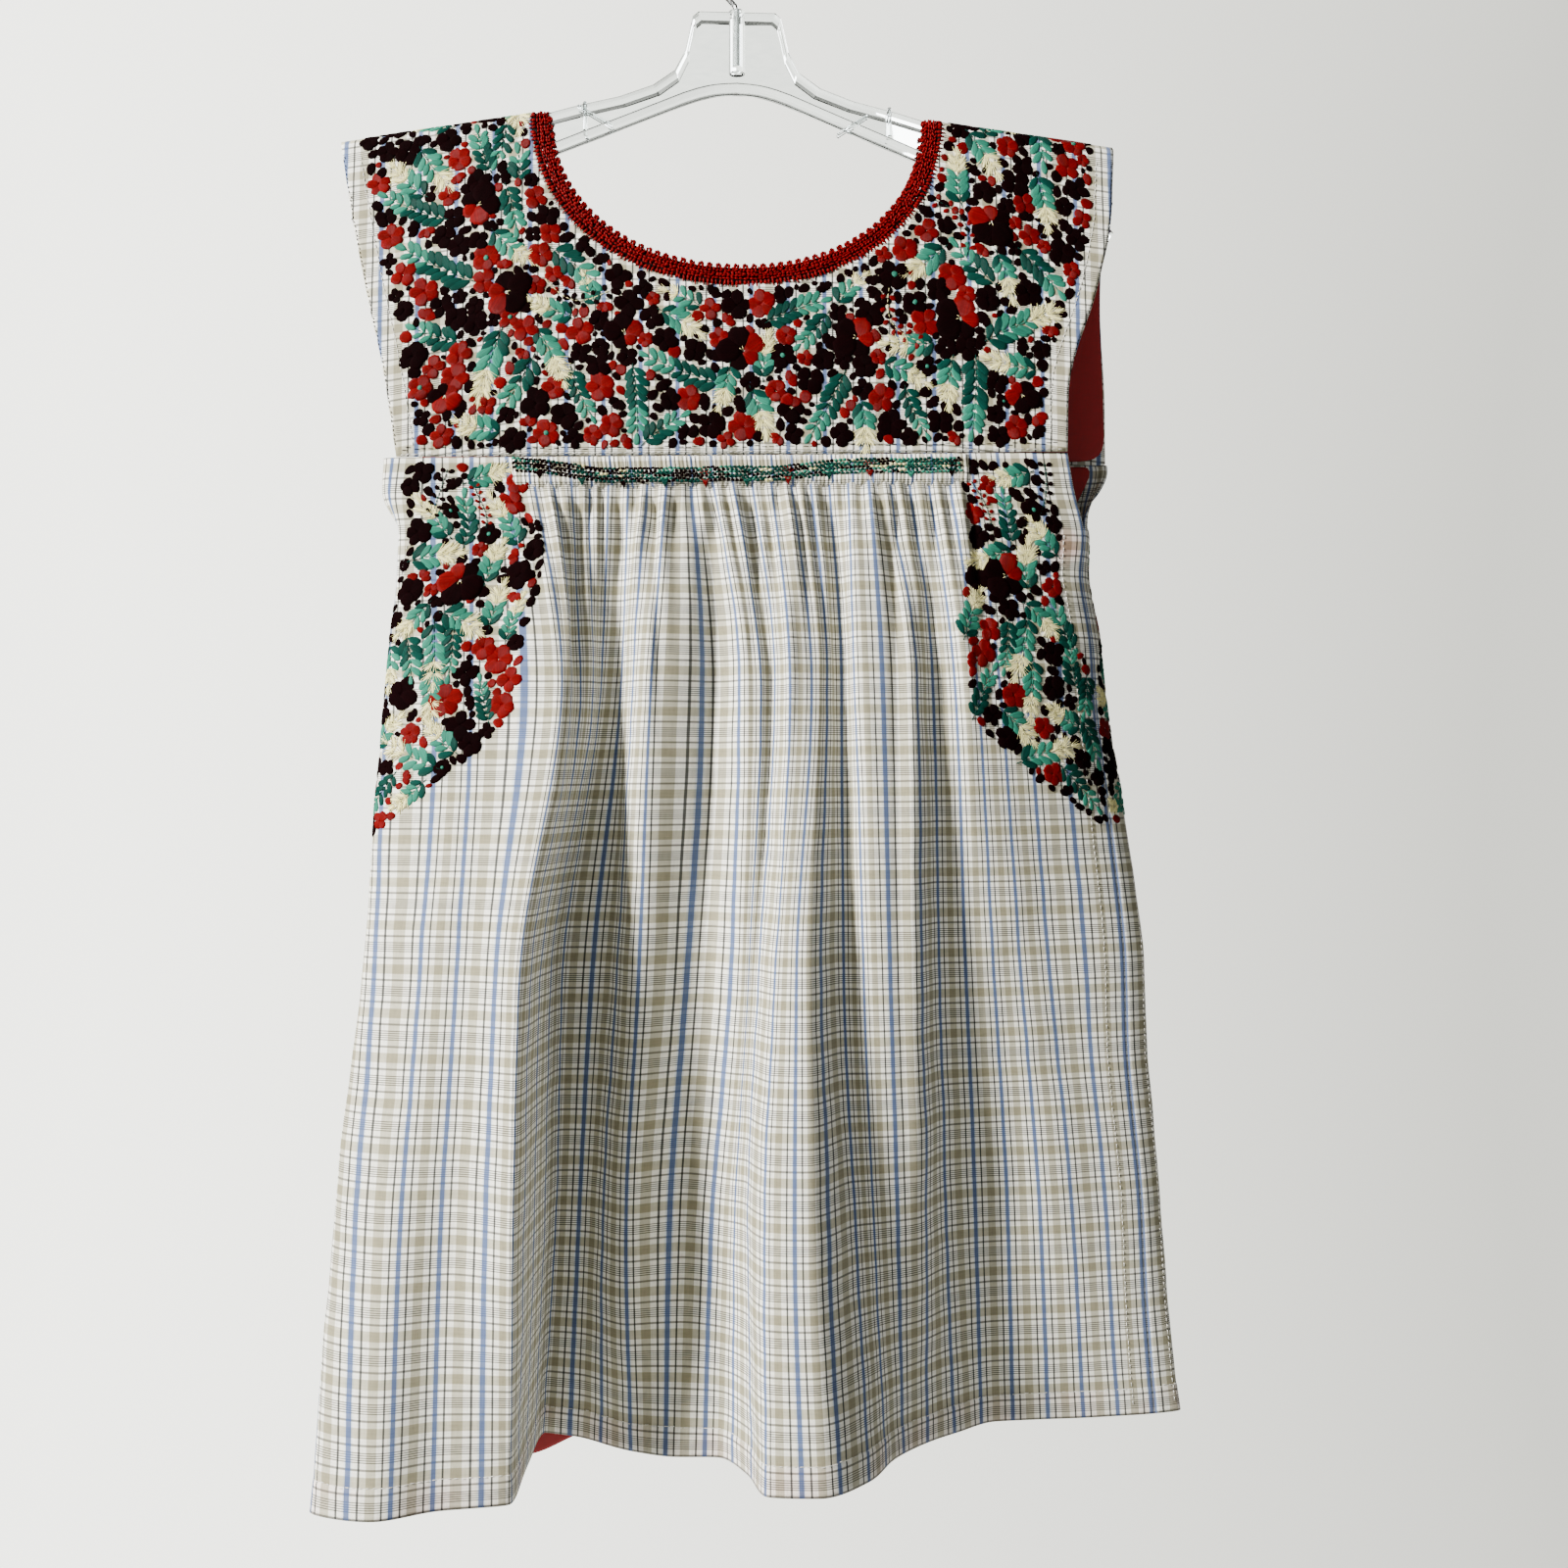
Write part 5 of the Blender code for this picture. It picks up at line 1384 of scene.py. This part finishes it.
yoke_ground = Ground((-0.23, -0.2), (0.23, 0.2), free_yoke)
for half, way in (("front", 1), ("back", -1)):
    shift, half_turn = (0, 0.0) if half == "front" else (BACK_SHIFT, math.pi)
    for x, down, turn, size, first, second in PANSIES:
        spot = (x * way + shift) * MM, way * down * MM
        yoke_ground.add(placed(pansy(first, second), *spot, math.radians(turn) * way, size), 0.10)
    for x, down, turn, length, leaf, pale in SPRIGS:
        spot = (x * way + shift) * MM, way * down * MM
        turned = math.radians(turn) + half_turn
        options = []
        for fit in (1.25, 1.0, 0.8):
            for lean in (0, 0.3, -0.3, 0.6, -0.6):
                for mirror in (False, True):
                    leaves = round(length * fit / 5.6), leaf * 1.18, PALE if pale else FRESH
                    options.append(placed(sprig(length * fit, *leaves, 5, mirror), *spot, turned + lean))
        options.sort(key=lambda option: yoke_ground.blocked(option[0]))
        yoke_ground.add(options[0], 0.22)
    for x, down, turn, dye, stem in TENDRILS:
        spot = (x * way + shift) * MM, way * down * MM
        turned = math.radians(turn) + half_turn
        yoke_ground.add(placed(tendril(36, 9, stem, dye, 6), *spot, turned), 0.3)
# what is thrown, how often, and how much of each may be blocked, from large to small
YOKE_THROWS = (
    (sprigs_of(30, 9.5, 0.7), 300, 0.10), (blossoms_of((14, 17)), 1200, 0.10),
    (blossoms_of((11, 13.5)), 2600, 0.10), (buds_of(11), 1800, 0.10), (blossoms_of((8.5, 10.5)), 2600, 0.12),
    (dots_of(8.0), 5000, 0.18), (dots_of(6.5), 5000, 0.18), (dots_of(5.2), 5000, 0.18),
    (dots_of(4.2), 5000, 0.18),
)
print("stayed", [yoke_ground.throw(*row) for row in YOKE_THROWS])
YOKE_WORK = yoke_ground.finish("yoke_embroidery", yoke_surface, 40)

# %% [markdown]
# ## The skirt's embroidery
# Below the yoke a panel of flowers hangs down each side of the skirt, wide at the top and narrowing to
# the side seam. A column of upright sprigs edges it towards the middle. The same is worked on the back.

# %% Skirt embroidery
# measure down, then the nearest and the farthest distance from the seam, in mm
SIDE_FIELDS = {
    ("front", "start"): ((4, 13, 76), (24, 13, 80), (60, 12, 90), (140, 10, 92), (160, 8, 78), (185, 8, 48),
                         (212, 8, 12)),
    ("front", "end"): ((4, 9, 62), (45, 14, 68), (95, 14, 76), (120, 3, 80), (150, 1, 76), (180, 1, 46),
                       (206, 1, 8)),
    ("back", "start"): ((4, 9, 70), (95, 12, 76), (120, 3, 80), (150, 1, 74), (180, 1, 44), (206, 1, 8)),
    ("back", "end"): ((4, 9, 66), (60, 12, 76), (120, 3, 80), (150, 2, 74), (180, 2, 44), (206, 2, 8)),
}
# distance from the seam, down, kind, turn in degrees, size
SIDE_MOTIFS = (
    (46, 68, "pansy", 40, 1.0), (44, 52, "fresh", -90, 0.8), (38, 88, "pale", 75, 1.0),
    (50, 90, "fresh", 110, 1.0), (76, 14, "blossom", 0, 1.05), (75, 52, "pale", -92, 0.85),
    (78, 66, "blossom", 0, 1.0), (80, 104, "pale", -88, 0.85), (78, 112, "blossom", 30, 1.0),
    (79, 148, "fresh", -86, 0.85), (70, 158, "blossom", 10, 1.0), (40, 112, "pale", 60, 0.9),
    (24, 34, "spray", -80, 0.8), (54, 40, "spray", -95, 0.8), (28, 130, "blossom", 0, 1.1),
    (52, 134, "blossom", 40, 1.15), (56, 172, "pale", 200, 1.0), (30, 172, "fresh", 150, 0.9),
    (24, 196, "pale", 190, 0.8), (36, 152, "blossom", 0, 0.9), (20, 74, "blossom", 0, 0.9),
    (14, 170, "blossom", 0, 0.9),
)
SIDE_THROWS = (
    (sprigs_of(26, 9.0, 0.6), 200, 0.14), (blossoms_of((13, 15.5)), 300, 0.10),
    (blossoms_of((9.5, 12)), 400, 0.10), (buds_of(10), 300, 0.10), (dots_of(7.5), 900, 0.18),
    (dots_of(6.0), 900, 0.18), (dots_of(4.8), 900, 0.18),
)
SIDE_WIDTH, SIDE_LENGTH = 0.1, 0.215


def free_side(field, way):
    """Where a side panel of the skirt may be embroidered."""
    down, near, far = (np.array(column) * MM for column in zip(*field))

    def free(u, v):
        away = u * way
        return ((v > down[0]) & (v < down[-1]) & (away > np.interp(v, down, near))
                & (away < np.interp(v, down, far)))

    return free


def side_motif(kind):
    """A motif of the side panels."""
    if kind == "pansy":
        return pansy(DARK, RED)
    if kind == "blossom":
        return blossom(red_or_dark(0.55), 15.5, 5)
    if kind == "spray":
        return tendril(34, 3, TEAL, red_or_dark(0.6), 6)
    return sprig(36, 6, 9.0, PALE if kind == "pale" else FRESH, 3)


SKIRT_WORK = {half: [] for half in SIDES}
for number, ((half, end), field) in enumerate(SIDE_FIELDS.items()):
    way = 1 if end == "start" else -1
    low, high = sorted((0.0, way * SIDE_WIDTH))
    ground = Ground((low, 0.0), (high, SIDE_LENGTH), free_side(field, way))
    for distance, down, kind, turn, size in SIDE_MOTIFS:
        turned = math.radians(turn) if way > 0 else math.pi - math.radians(turn)
        options = [placed(side_motif(kind), distance * way * MM, down * MM, turned + lean, size * fit)
                   for fit in (1.1, 0.9) for lean in (0.0, 0.25, -0.25, 0.5, -0.5)]
        options.sort(key=lambda option: ground.blocked(option[0]))
        ground.add(options[0], 0.30)
    for row in SIDE_THROWS:
        ground.throw(*row)
    SKIRT_WORK[half] += ground.finish(f"skirt_embroidery_{half}_{end}", STRIPS[half, end], 60 + 10 * number)

# %% [markdown]
# ## Smocking
# Where the skirt is gathered, the little pleats are caught by rows of coloured stitches. The pleated strip
# is cloth of its own here, with a ridge for each pleat. The stitches are short dashes from pleat to pleat,
# laid like bricks, in runs of one dye: more maroon on the left, more teal and jade to the right. A small
# arrow hangs below them at every tenth pleat.

# %% Smocking
PLEAT, PLEAT_DEPTH, PLEAT_STEPS = 0.00235, 0.0005, 6
STRIP_LIFT, STRIP_TUCK, STRIP_STEPS = 0.0013, 0.0008, 10
STRIP_TOP, STRIP_LOW = 0.0008, 0.0178
STITCH_ROWS = 6
STITCH_ROW_PITCH = 0.0014
# share of the width, and the measure down of the band's middle
BAND_LINE = ((0.0, 0.0046), (0.06, 0.0056), (0.18, 0.0110), (0.36, 0.0106), (0.54, 0.0110), (0.68, 0.0076),
             (0.85, 0.0068), (1.0, 0.0064))
# share of the width up to which they hold, and the chances of the band's dyes
BAND_DYES = (DARK, TEAL, JADE, IVORY)
BAND_CHANCES = ((0.42, (0.54, 0.36, 0.05, 0.05)), (0.80, (0.30, 0.48, 0.16, 0.06)),
                (1.0, (0.10, 0.50, 0.34, 0.06)))
ARROW_START, ARROW_PITCH = 0.0155, 0.0227
ARROW_DYES = (DARK, TEAL, DARK, TEAL, RED, TEAL, RED, TEAL, RED, JADE)


def smock_surface(half):
    """The smoothed cloth under the strip, and the strip's width."""
    panel = PANELS[half]
    first, last = SMOCK_ENDS[half]
    keep = (panel["at"] >= first - 1e-6) & (panel["at"] <= last + 1e-6)
    upper = panel["rows"] < 0.06
    surface = surface_of(panel["plain"][upper][:, keep], panel["rows"][upper] * HEIGHT_OF_SKIRT)
    return surface, np.linalg.norm(np.diff(panel["plain"][0, keep], axis=0), axis=1).sum()


def build_pleats(half, surface, width):
    """The strip of pleated cloth."""
    count = int(width / PLEAT) * PLEAT_STEPS + 1
    u, v = np.meshgrid(np.linspace(0.0005, width - 0.0015, count),
                       np.linspace(STRIP_TOP, STRIP_LOW, STRIP_STEPS + 1))
    wobble = 0.30 * np.sin(v / 0.0021) + 0.2 * np.sin(v / 0.0008 + u / 0.011)
    ridge = np.abs(np.cos(math.pi * (np.arange(count)[None, :] / PLEAT_STEPS + 0.25 * wobble)))
    ease = smoothstep((STRIP_LOW - v) / 0.0045)
    ease = ease * smoothstep((u + 0.001) / 0.004) * smoothstep((width - u) / 0.004)
    height = (STRIP_LIFT + STRIP_TUCK) * ease - STRIP_TUCK + PLEAT_DEPTH * (ridge - 0.4)
    grid = lay_on(surface, np.stack([u, v, height], axis=2))
    first, last = SMOCK_ENDS[half]
    uv = np.stack([u * ((last - first) / width) + first - PANELS[half]["start"], v], axis=2)
    return add_cloth("smocked_strip_" + half, grid, uv, COTTON, "plaid", 0.0006)


def band_middle(share):
    """The measure down of the stitched band's middle, which wanders as the pleats pull it."""
    return float(np.interp(share, *zip(*BAND_LINE))) + 0.0004 * math.sin(23 * share)


def stitch_band(half, surface, width):
    """The rows of smocking stitches and the arrows."""
    random = np.random.default_rng(31)
    by_dye = {dye: [] for dye in range(len(DYES))}
    height = STRIP_LIFT + 0.0006
    for row in range(STITCH_ROWS):
        left = 0
        for k in range(int((width - 0.006) / PLEAT)):
            share = k * PLEAT / width
            if left == 0:
                chances = next(chances for limit, chances in BAND_CHANCES if share < limit)
                dye = BAND_DYES[random.choice(4, p=chances)]
                left = int(random.integers(1, 5))
            left -= 1
            from_middle = (row - (STITCH_ROWS - 1) / 2) * STITCH_ROW_PITCH
            v = band_middle(share) + from_middle + random.normal(0, 0.0002)
            rise = random.normal(0, 0.0003)
            u = 0.001 + (k + 0.5 * (row % 2)) * PLEAT
            by_dye[dye].append((u, v + rise, u + 0.0030, v - rise, 0.00088, height))
    for number in range(int((width - ARROW_START) / ARROW_PITCH) + 1):
        arrow = by_dye[ARROW_DYES[number % len(ARROW_DYES)]]
        u = ARROW_START + number * ARROW_PITCH
        v = band_middle(u / width) + 0.0018
        tail, point = v + 0.0058, v - 0.0010
        for reach in np.linspace(-0.0022, 0.0022, 7):
            arrow.append((u + reach, v, u + reach * 0.25, tail - abs(reach), 0.00048, height + 0.0004))
        for angle in (-2.6, -2.1, -1.57, -1.0, -0.5):
            end = u + 0.0048 * math.cos(angle), point + 0.0052 * math.sin(angle)
            arrow.append((u, point, *end, 0.00036, height + 0.0003))
    made = []
    for dye, stitches in by_dye.items():
        if stitches:
            material, slot, word = DYES[dye]
            name = f"smocking_stitches_{half}_{word}"
            made.append(sew(name, surface, material, slot, (), stitches, 90 + dye))
    return made


SMOCK_WORK, STRIP_CLOTH = {}, {}
for half in SIDES:
    surface, width = smock_surface(half)
    strip = build_pleats(half, surface, width)
    SMOCK_WORK[half] = stitch_band(half, surface, width)
    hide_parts("smocking_" + half)
    STRIP_CLOTH[half] = (strip, width)

# %% [markdown]
# ## Crocheted neck edging
# The neck is edged with crimson crochet: long stitches over the raw edge, two braided rows with small
# gaps between them, and picots along the free edge. Each loop is a satin patch on both faces of a thin
# band, since the edging is seen from the front and, across the opening, from behind.

# %% Crochet
LOOP_PITCH = 0.00225
LOOP_SIDES = 6
PICOT_PITCH = 0.0054
# distances inside the edge between which a thin band lies, and its columns
TRIM_BANDS = ((-0.0006, 0.0024), (0.0034, 0.0088))
BAND_COLUMNS = 220
# distance inside the edge, length, width and slant of a loop, and its height
BRAID_ROWS = (
    (0.0006, 0.0028, 0.0015, 80, 0.0009), (0.0027, 0.0025, 0.0012, 14, 0.0007),
    (0.0042, 0.0027, 0.0012, -16, 0.0010), (0.0053, 0.0027, 0.0012, 16, 0.0010),
    (0.0068, 0.0026, 0.0013, -22, 0.0011), (0.0082, 0.0027, 0.0015, 38, 0.0010),
)


def trim_surface(half):
    """u is the length along the neck edge, v the distance inside the opening. Seen from outside the cloth,
    u runs to the left, which keeps heights outward."""
    first = math.asin((0.0004 / NECK_DEPTHS[half]) ** (NECK_SQUARENESS / 2))
    angles = np.linspace(first, math.pi - first, 721)[::SIDES[half]]
    x, z = neck_point(angles, half)
    length = np.concatenate([[0.0], np.cumsum(np.hypot(np.diff(x), np.diff(z)))])

    def surface(u, v):
        angle = np.interp(u, length, angles)
        x, z = neck_point(angle, half, v)
        return np.stack([x, yoke_y(x, z, half), z], axis=-1)

    return surface, length[-1]


def build_crochet(half):
    """The edging of one half: its loops and picots on both faces, and the two thin bands under them."""
    surface, total = trim_surface(half)
    random = np.random.default_rng(12)
    rows = []
    for inset, length, width, slant, height in BRAID_ROWS:
        for u in np.arange(0.0015, total - 0.0015, LOOP_PITCH):
            rows.append((u + random.normal(0, 0.0003), inset + random.normal(0, 0.00022),
                         math.radians(slant + random.normal(0, 14)), length * random.uniform(0.85, 1.15),
                         width * random.uniform(0.85, 1.2), 0.0, height * random.uniform(0.8, 1.2), 0.0002))
    for u in np.arange(0.003, total - 0.003, PICOT_PITCH):
        for side in (-1, 1):
            rows.append((u + side * 0.0010, 0.0096 + random.normal(0, 0.0002), math.radians(90 - 25 * side),
                         0.0028, 0.0016, 0.0, 0.0009, -0.0001))
        rows.append((u + random.normal(0, 0.0003), 0.0106, 0.0, 0.0024, 0.0016, 0.0, 0.0008, -0.0001))
    edge = [(u, -0.0010 - random.uniform(0.0, 0.0018), u + 0.0003, 0.0012, 0.00045, 0.0007)
            for u in np.arange(0.0015, total - 0.0015, LOOP_PITCH)]
    inside = [(*row[:6], -row[6], -0.0012) for row in rows if row[1] > 0.001]
    made = [sew("crochet_face_" + half, surface, CROCHET_COTTON, "trim", rows, edge, 5, 0.22, LOOP_SIDES),
            sew("crochet_inside_" + half, surface, CROCHET_COTTON, "trim", inside, (), 6, 0.22, LOOP_SIDES)]
    for number, (low, high) in enumerate(TRIM_BANDS):
        u, v = np.meshgrid(np.linspace(total - 0.0002, 0.0002, BAND_COLUMNS), np.linspace(high, low, 5))
        grid = lay_on(surface, np.stack([u, v, 0 * u], axis=2))
        grid[:, :, 1] = surface(u, v)[:, :, 1] + SIDES[half] * 0.0001
        made.append(add_cloth(f"crochet_band_{number}_{half}", grid, np.stack([v, u], axis=2),
                              CROCHET_COTTON, "trim", 0.0013))
    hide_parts("neck_trim_" + half)
    return made


CROCHET = {half: build_crochet(half) for half in SIDES}

# %% [markdown]
# ## Sewing stitches
# Plain sewing holds the pieces together: white topstitching along the armholes, two lines over the
# yoke's lower edge, one line inside each side seam, and the hem's line. They are short stitches with gaps,
# a little out of line, as from a home machine.

# %% Sewing stitches
YOKE_LINES = 40
# dye, edges that it runs beside, distance inside them, stitch, gap, radius, height and wander
YOKE_SEWING = (
    ("white", ("left", "right"), 0.0100, 0.0024, 0.0009, 0.00022, 0.0004, 0.0001),
    ("dark", ("left", "right"), 0.0006, 0.0016, 0.0010, 0.00020, 0.0004, 0.0002),
    ("white", ("seam",), 0.0012, 0.0026, 0.0010, 0.00024, 0.0005, 0.0001),
    ("dark", ("seam",), 0.0042, 0.0034, 0.0004, 0.00020, 0.0004, 0.0004),
)
HEM_SEWING = (0.0024, 0.0012, 0.00022, 0.0004, 0.0002)
SIDE_SEWING = (0.0024, 0.0010, 0.00022, 0.0004, 0.0001)
SIDE_SEWING_INSET = 0.0130


def yoke_line(half, inset, edge):
    """A path on the yoke in its own coordinates: beside an armhole, or over the lower edge."""
    if edge == "seam":
        x = np.linspace(-0.184, 0.181, YOKE_LINES)
        z = yoke_seam_z(x) + inset
    else:
        low = yoke_seam_z(armhole_x(half, edge, YOKE_SEAM_Z)[0]) + 0.004
        z = np.linspace(shoulder_z(-0.21 if edge == "left" else 0.205) - 0.012, low, YOKE_LINES)
        x = armhole_x(half, edge, z) + (inset if edge == "left" else -inset)
    return np.stack([x, -SIDES[half] * down_from_fold(x, z)], axis=1)


yoke_rows = {"white": [], "dark": []}
for half in SIDES:
    for dye, edges, inset, *stitch in YOKE_SEWING:
        yoke_rows[dye] += [running(yoke_line(half, inset, edge), *stitch) for edge in edges]
yoke_rows = {dye: np.concatenate(rows) for dye, rows in yoke_rows.items()}
SEWING = {"yoke": [
    sew("yoke_topstitching", yoke_surface, WHITE_SEWING, "thread_cream", (), yoke_rows["white"]),
    sew("yoke_edge_stitching", yoke_surface, DARK_FLOSS, "thread_dark", (), yoke_rows["dark"]),
]}
for half in SIDES:
    panel = PANELS[half]
    low = panel["rows"] > 0.9
    hem_surface = surface_of(panel["grid"][low], panel["rows"][low] * HEIGHT_OF_SKIRT)
    hem_length = np.linalg.norm(np.diff(panel["grid"][-1], axis=0), axis=1).sum()
    hem = [(u, HEIGHT_OF_SKIRT - HEM_DEPTH) for u in np.arange(0.003, hem_length - 0.012, 0.004)]
    down = np.arange(0.045, HEIGHT_OF_SKIRT - 0.006, 0.004)
    made = [sew("hem_stitching_" + half, hem_surface, WHITE_SEWING, "thread_cream", (),
                running(hem, *HEM_SEWING))]
    for end, way in (("start", 1), ("end", -1)):
        line = np.stack([np.full(len(down), way * SIDE_SEWING_INSET), down], axis=1)
        made.append(sew(f"seam_stitching_{half}_{end}", STRIPS[half, end], WHITE_SEWING, "thread_cream", (),
                        running(line, *SIDE_SEWING)))
    SEWING[half] = made

# %% [markdown]
# ## Lining
# A thin crimson lining hangs inside the back yoke and the skirt. It shows in the open armhole and a little
# below the front hem, where it hangs lower at one fold. The solids have its form in large flats, so each
# piece is a copy of one, made round and smooth by a subdivision. Its cloth coordinates are its own x and
# height.

# %% Lining
# the low place of the front lining: its x, width and depth, the z where it starts and how soon it is full
DROOP_X, DROOP_WIDTH, DROOP_DEPTH = -0.116, 0.026, 0.012
DROOP_START, DROOP_REACH = -0.82, 0.03


def droop(piece):
    """Lets the smoothed lining hang lower at one place of its hem."""
    seen = piece.evaluated_get(bpy.context.evaluated_depsgraph_get())
    piece.data = bpy.data.meshes.new_from_object(seen)
    piece.modifiers.clear()
    for vertex in piece.data.vertices:
        near = math.exp(-((vertex.co.x - DROOP_X) / DROOP_WIDTH) ** 2)
        low = smoothstep((DROOP_START - vertex.co.z) / DROOP_REACH)
        vertex.co.z -= DROOP_DEPTH * near * low


for part in ("lining_yoke_back", "lining_front", "lining_back"):
    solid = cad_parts[part]
    piece = bpy.data.objects.new("cloth_" + part, solid.data.copy())
    bpy.context.scene.collection.objects.link(piece)
    form = bmesh.new()
    form.from_mesh(piece.data)
    bmesh.ops.remove_doubles(form, verts=form.verts, dist=0.00001)
    bmesh.ops.join_triangles(form, faces=form.faces, angle_face_threshold=3.0, angle_shape_threshold=3.0)
    form.to_mesh(piece.data)
    form.free()
    layer = piece.data.uv_layers.new(name=UV_NAME)
    for loop in piece.data.loops:
        at = piece.data.vertices[loop.vertex_index].co
        layer.data[loop.index].uv = (at.x + 0.5, -at.z)
    smooth = piece.modifiers.new("smooth", "SUBSURF")
    smooth.levels = smooth.render_levels = 2
    piece.data.shade_smooth()
    piece.data.materials.clear()
    piece.data.materials.append(LINING_CLOTH)
    if part == "lining_front":
        droop(piece)
    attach(piece, "root")
    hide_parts(part)

# %% [markdown]
# ## The hanger
# The hanger is moulded in clear plastic: two rails with a thin web between them, small collars and slanting
# ribs where the mould filled last. The rails come from the solid, with a small bevel so that their edges
# catch the light. The hook is bright steel wire.

# %% Hanger
COLLAR_RADIUS, RIB_RADIUS, RIB_DEPTH = 0.0011, 0.0009, 0.0019
# x, top and low end of a collar, then both ends of a rib, x and z
COLLARS = ((-0.0850, -0.1160, -0.1310), (0.0860, -0.1155, -0.1300))
RIBS = (((-0.0890, -0.1160), (-0.0700, -0.1270)), ((0.0740, -0.1180), (0.0570, -0.1290)))
EDGE_WIDTH, EDGE_ANGLE = 0.0005, math.radians(28)


def clear_plastic():
    """Clear plastic with a slight cloudiness."""
    material, tree, shader = new_finish("clear plastic", 0.06, Transmission_Weight=1.0, IOR=1.40)
    cloudy = node(tree, "ShaderNodeTexNoise", {"Scale": 60.0, "Detail": 3.0}).outputs[0]
    tree.links.new(mix(tree, ramp(tree, cloudy, 0.35, 0.7), tone(243, 247, 247), tone(228, 234, 235)),
                   shader.inputs["Base Color"])
    tree.links.new(ramp(tree, cloudy, 0.4, 0.8, 0.01, 0.05), shader.inputs["Roughness"])
    return material


def steel_wire():
    """Bright wire with fine scratches along it."""
    material, tree, shader = new_finish("steel wire", 0.28, Metallic=1.0)
    place = node(tree, "ShaderNodeTexCoord").outputs["Object"]
    scratch = drawn_noise(tree, place, (2500.0, 2500.0, 60.0))
    tree.links.new(mix(tree, scratch, tone(168, 170, 172), tone(206, 207, 208)), shader.inputs["Base Color"])
    tree.links.new(ramp(tree, scratch, 0.3, 0.7, 0.2, 0.38), shader.inputs["Roughness"])
    return material


CLEAR_PLASTIC = clear_plastic()
STEEL_WIRE = steel_wire()


def bar(name, places, radius):
    """A round moulded bar through a few places."""
    curve = bpy.data.curves.new(name, "CURVE")
    curve.dimensions = "3D"
    curve.bevel_depth = radius
    curve.bevel_resolution = 3
    curve.use_fill_caps = True
    spline = curve.splines.new("POLY")
    spline.points.add(len(places) - 1)
    for point, place in zip(spline.points, places):
        point.co = (*place, 1.0)
    curve.materials.append(CLEAR_PLASTIC)
    piece = bpy.data.objects.new(name, curve)
    bpy.context.scene.collection.objects.link(piece)
    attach(piece, "root")


for number, (x, top, low) in enumerate(COLLARS):
    ring = [(x, y, z) for y, z in ((-0.0042, low), (-0.0044, top + 0.0005), (0.0, top + 0.0016),
                                   (0.0044, top + 0.0005), (0.0042, low))]
    bar(f"hanger_collar_{number}", ring, COLLAR_RADIUS)
for number, rib in enumerate(RIBS):
    for y, word in ((-RIB_DEPTH, "front"), (RIB_DEPTH, "back")):
        bar(f"hanger_rib_{number}_{word}", [(x, y, z) for x, z in rib], RIB_RADIUS)

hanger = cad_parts["hanger_body"]
hanger.material_slots[0].material = CLEAR_PLASTIC
edges = hanger.modifiers.new("soft edges", "BEVEL")
edges.width = EDGE_WIDTH
edges.segments = 2
edges.limit_method = "ANGLE"
edges.angle_limit = EDGE_ANGLE
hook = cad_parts["hanger_hook"]
hook.material_slots[0].material = STEEL_WIRE
print("hanger finished")

# %% [markdown]
# ## What the cloth was cut to
# The skirt panels are cut straight, as wide as their hem, and are drawn in at the top by the smocking.

back_width = MEASURE[-1] - SEAMS["right"]
for half, width in (("front", SEAMS["right"]), ("back", back_width)):
    strip, strip_width = STRIP_CLOTH[half]
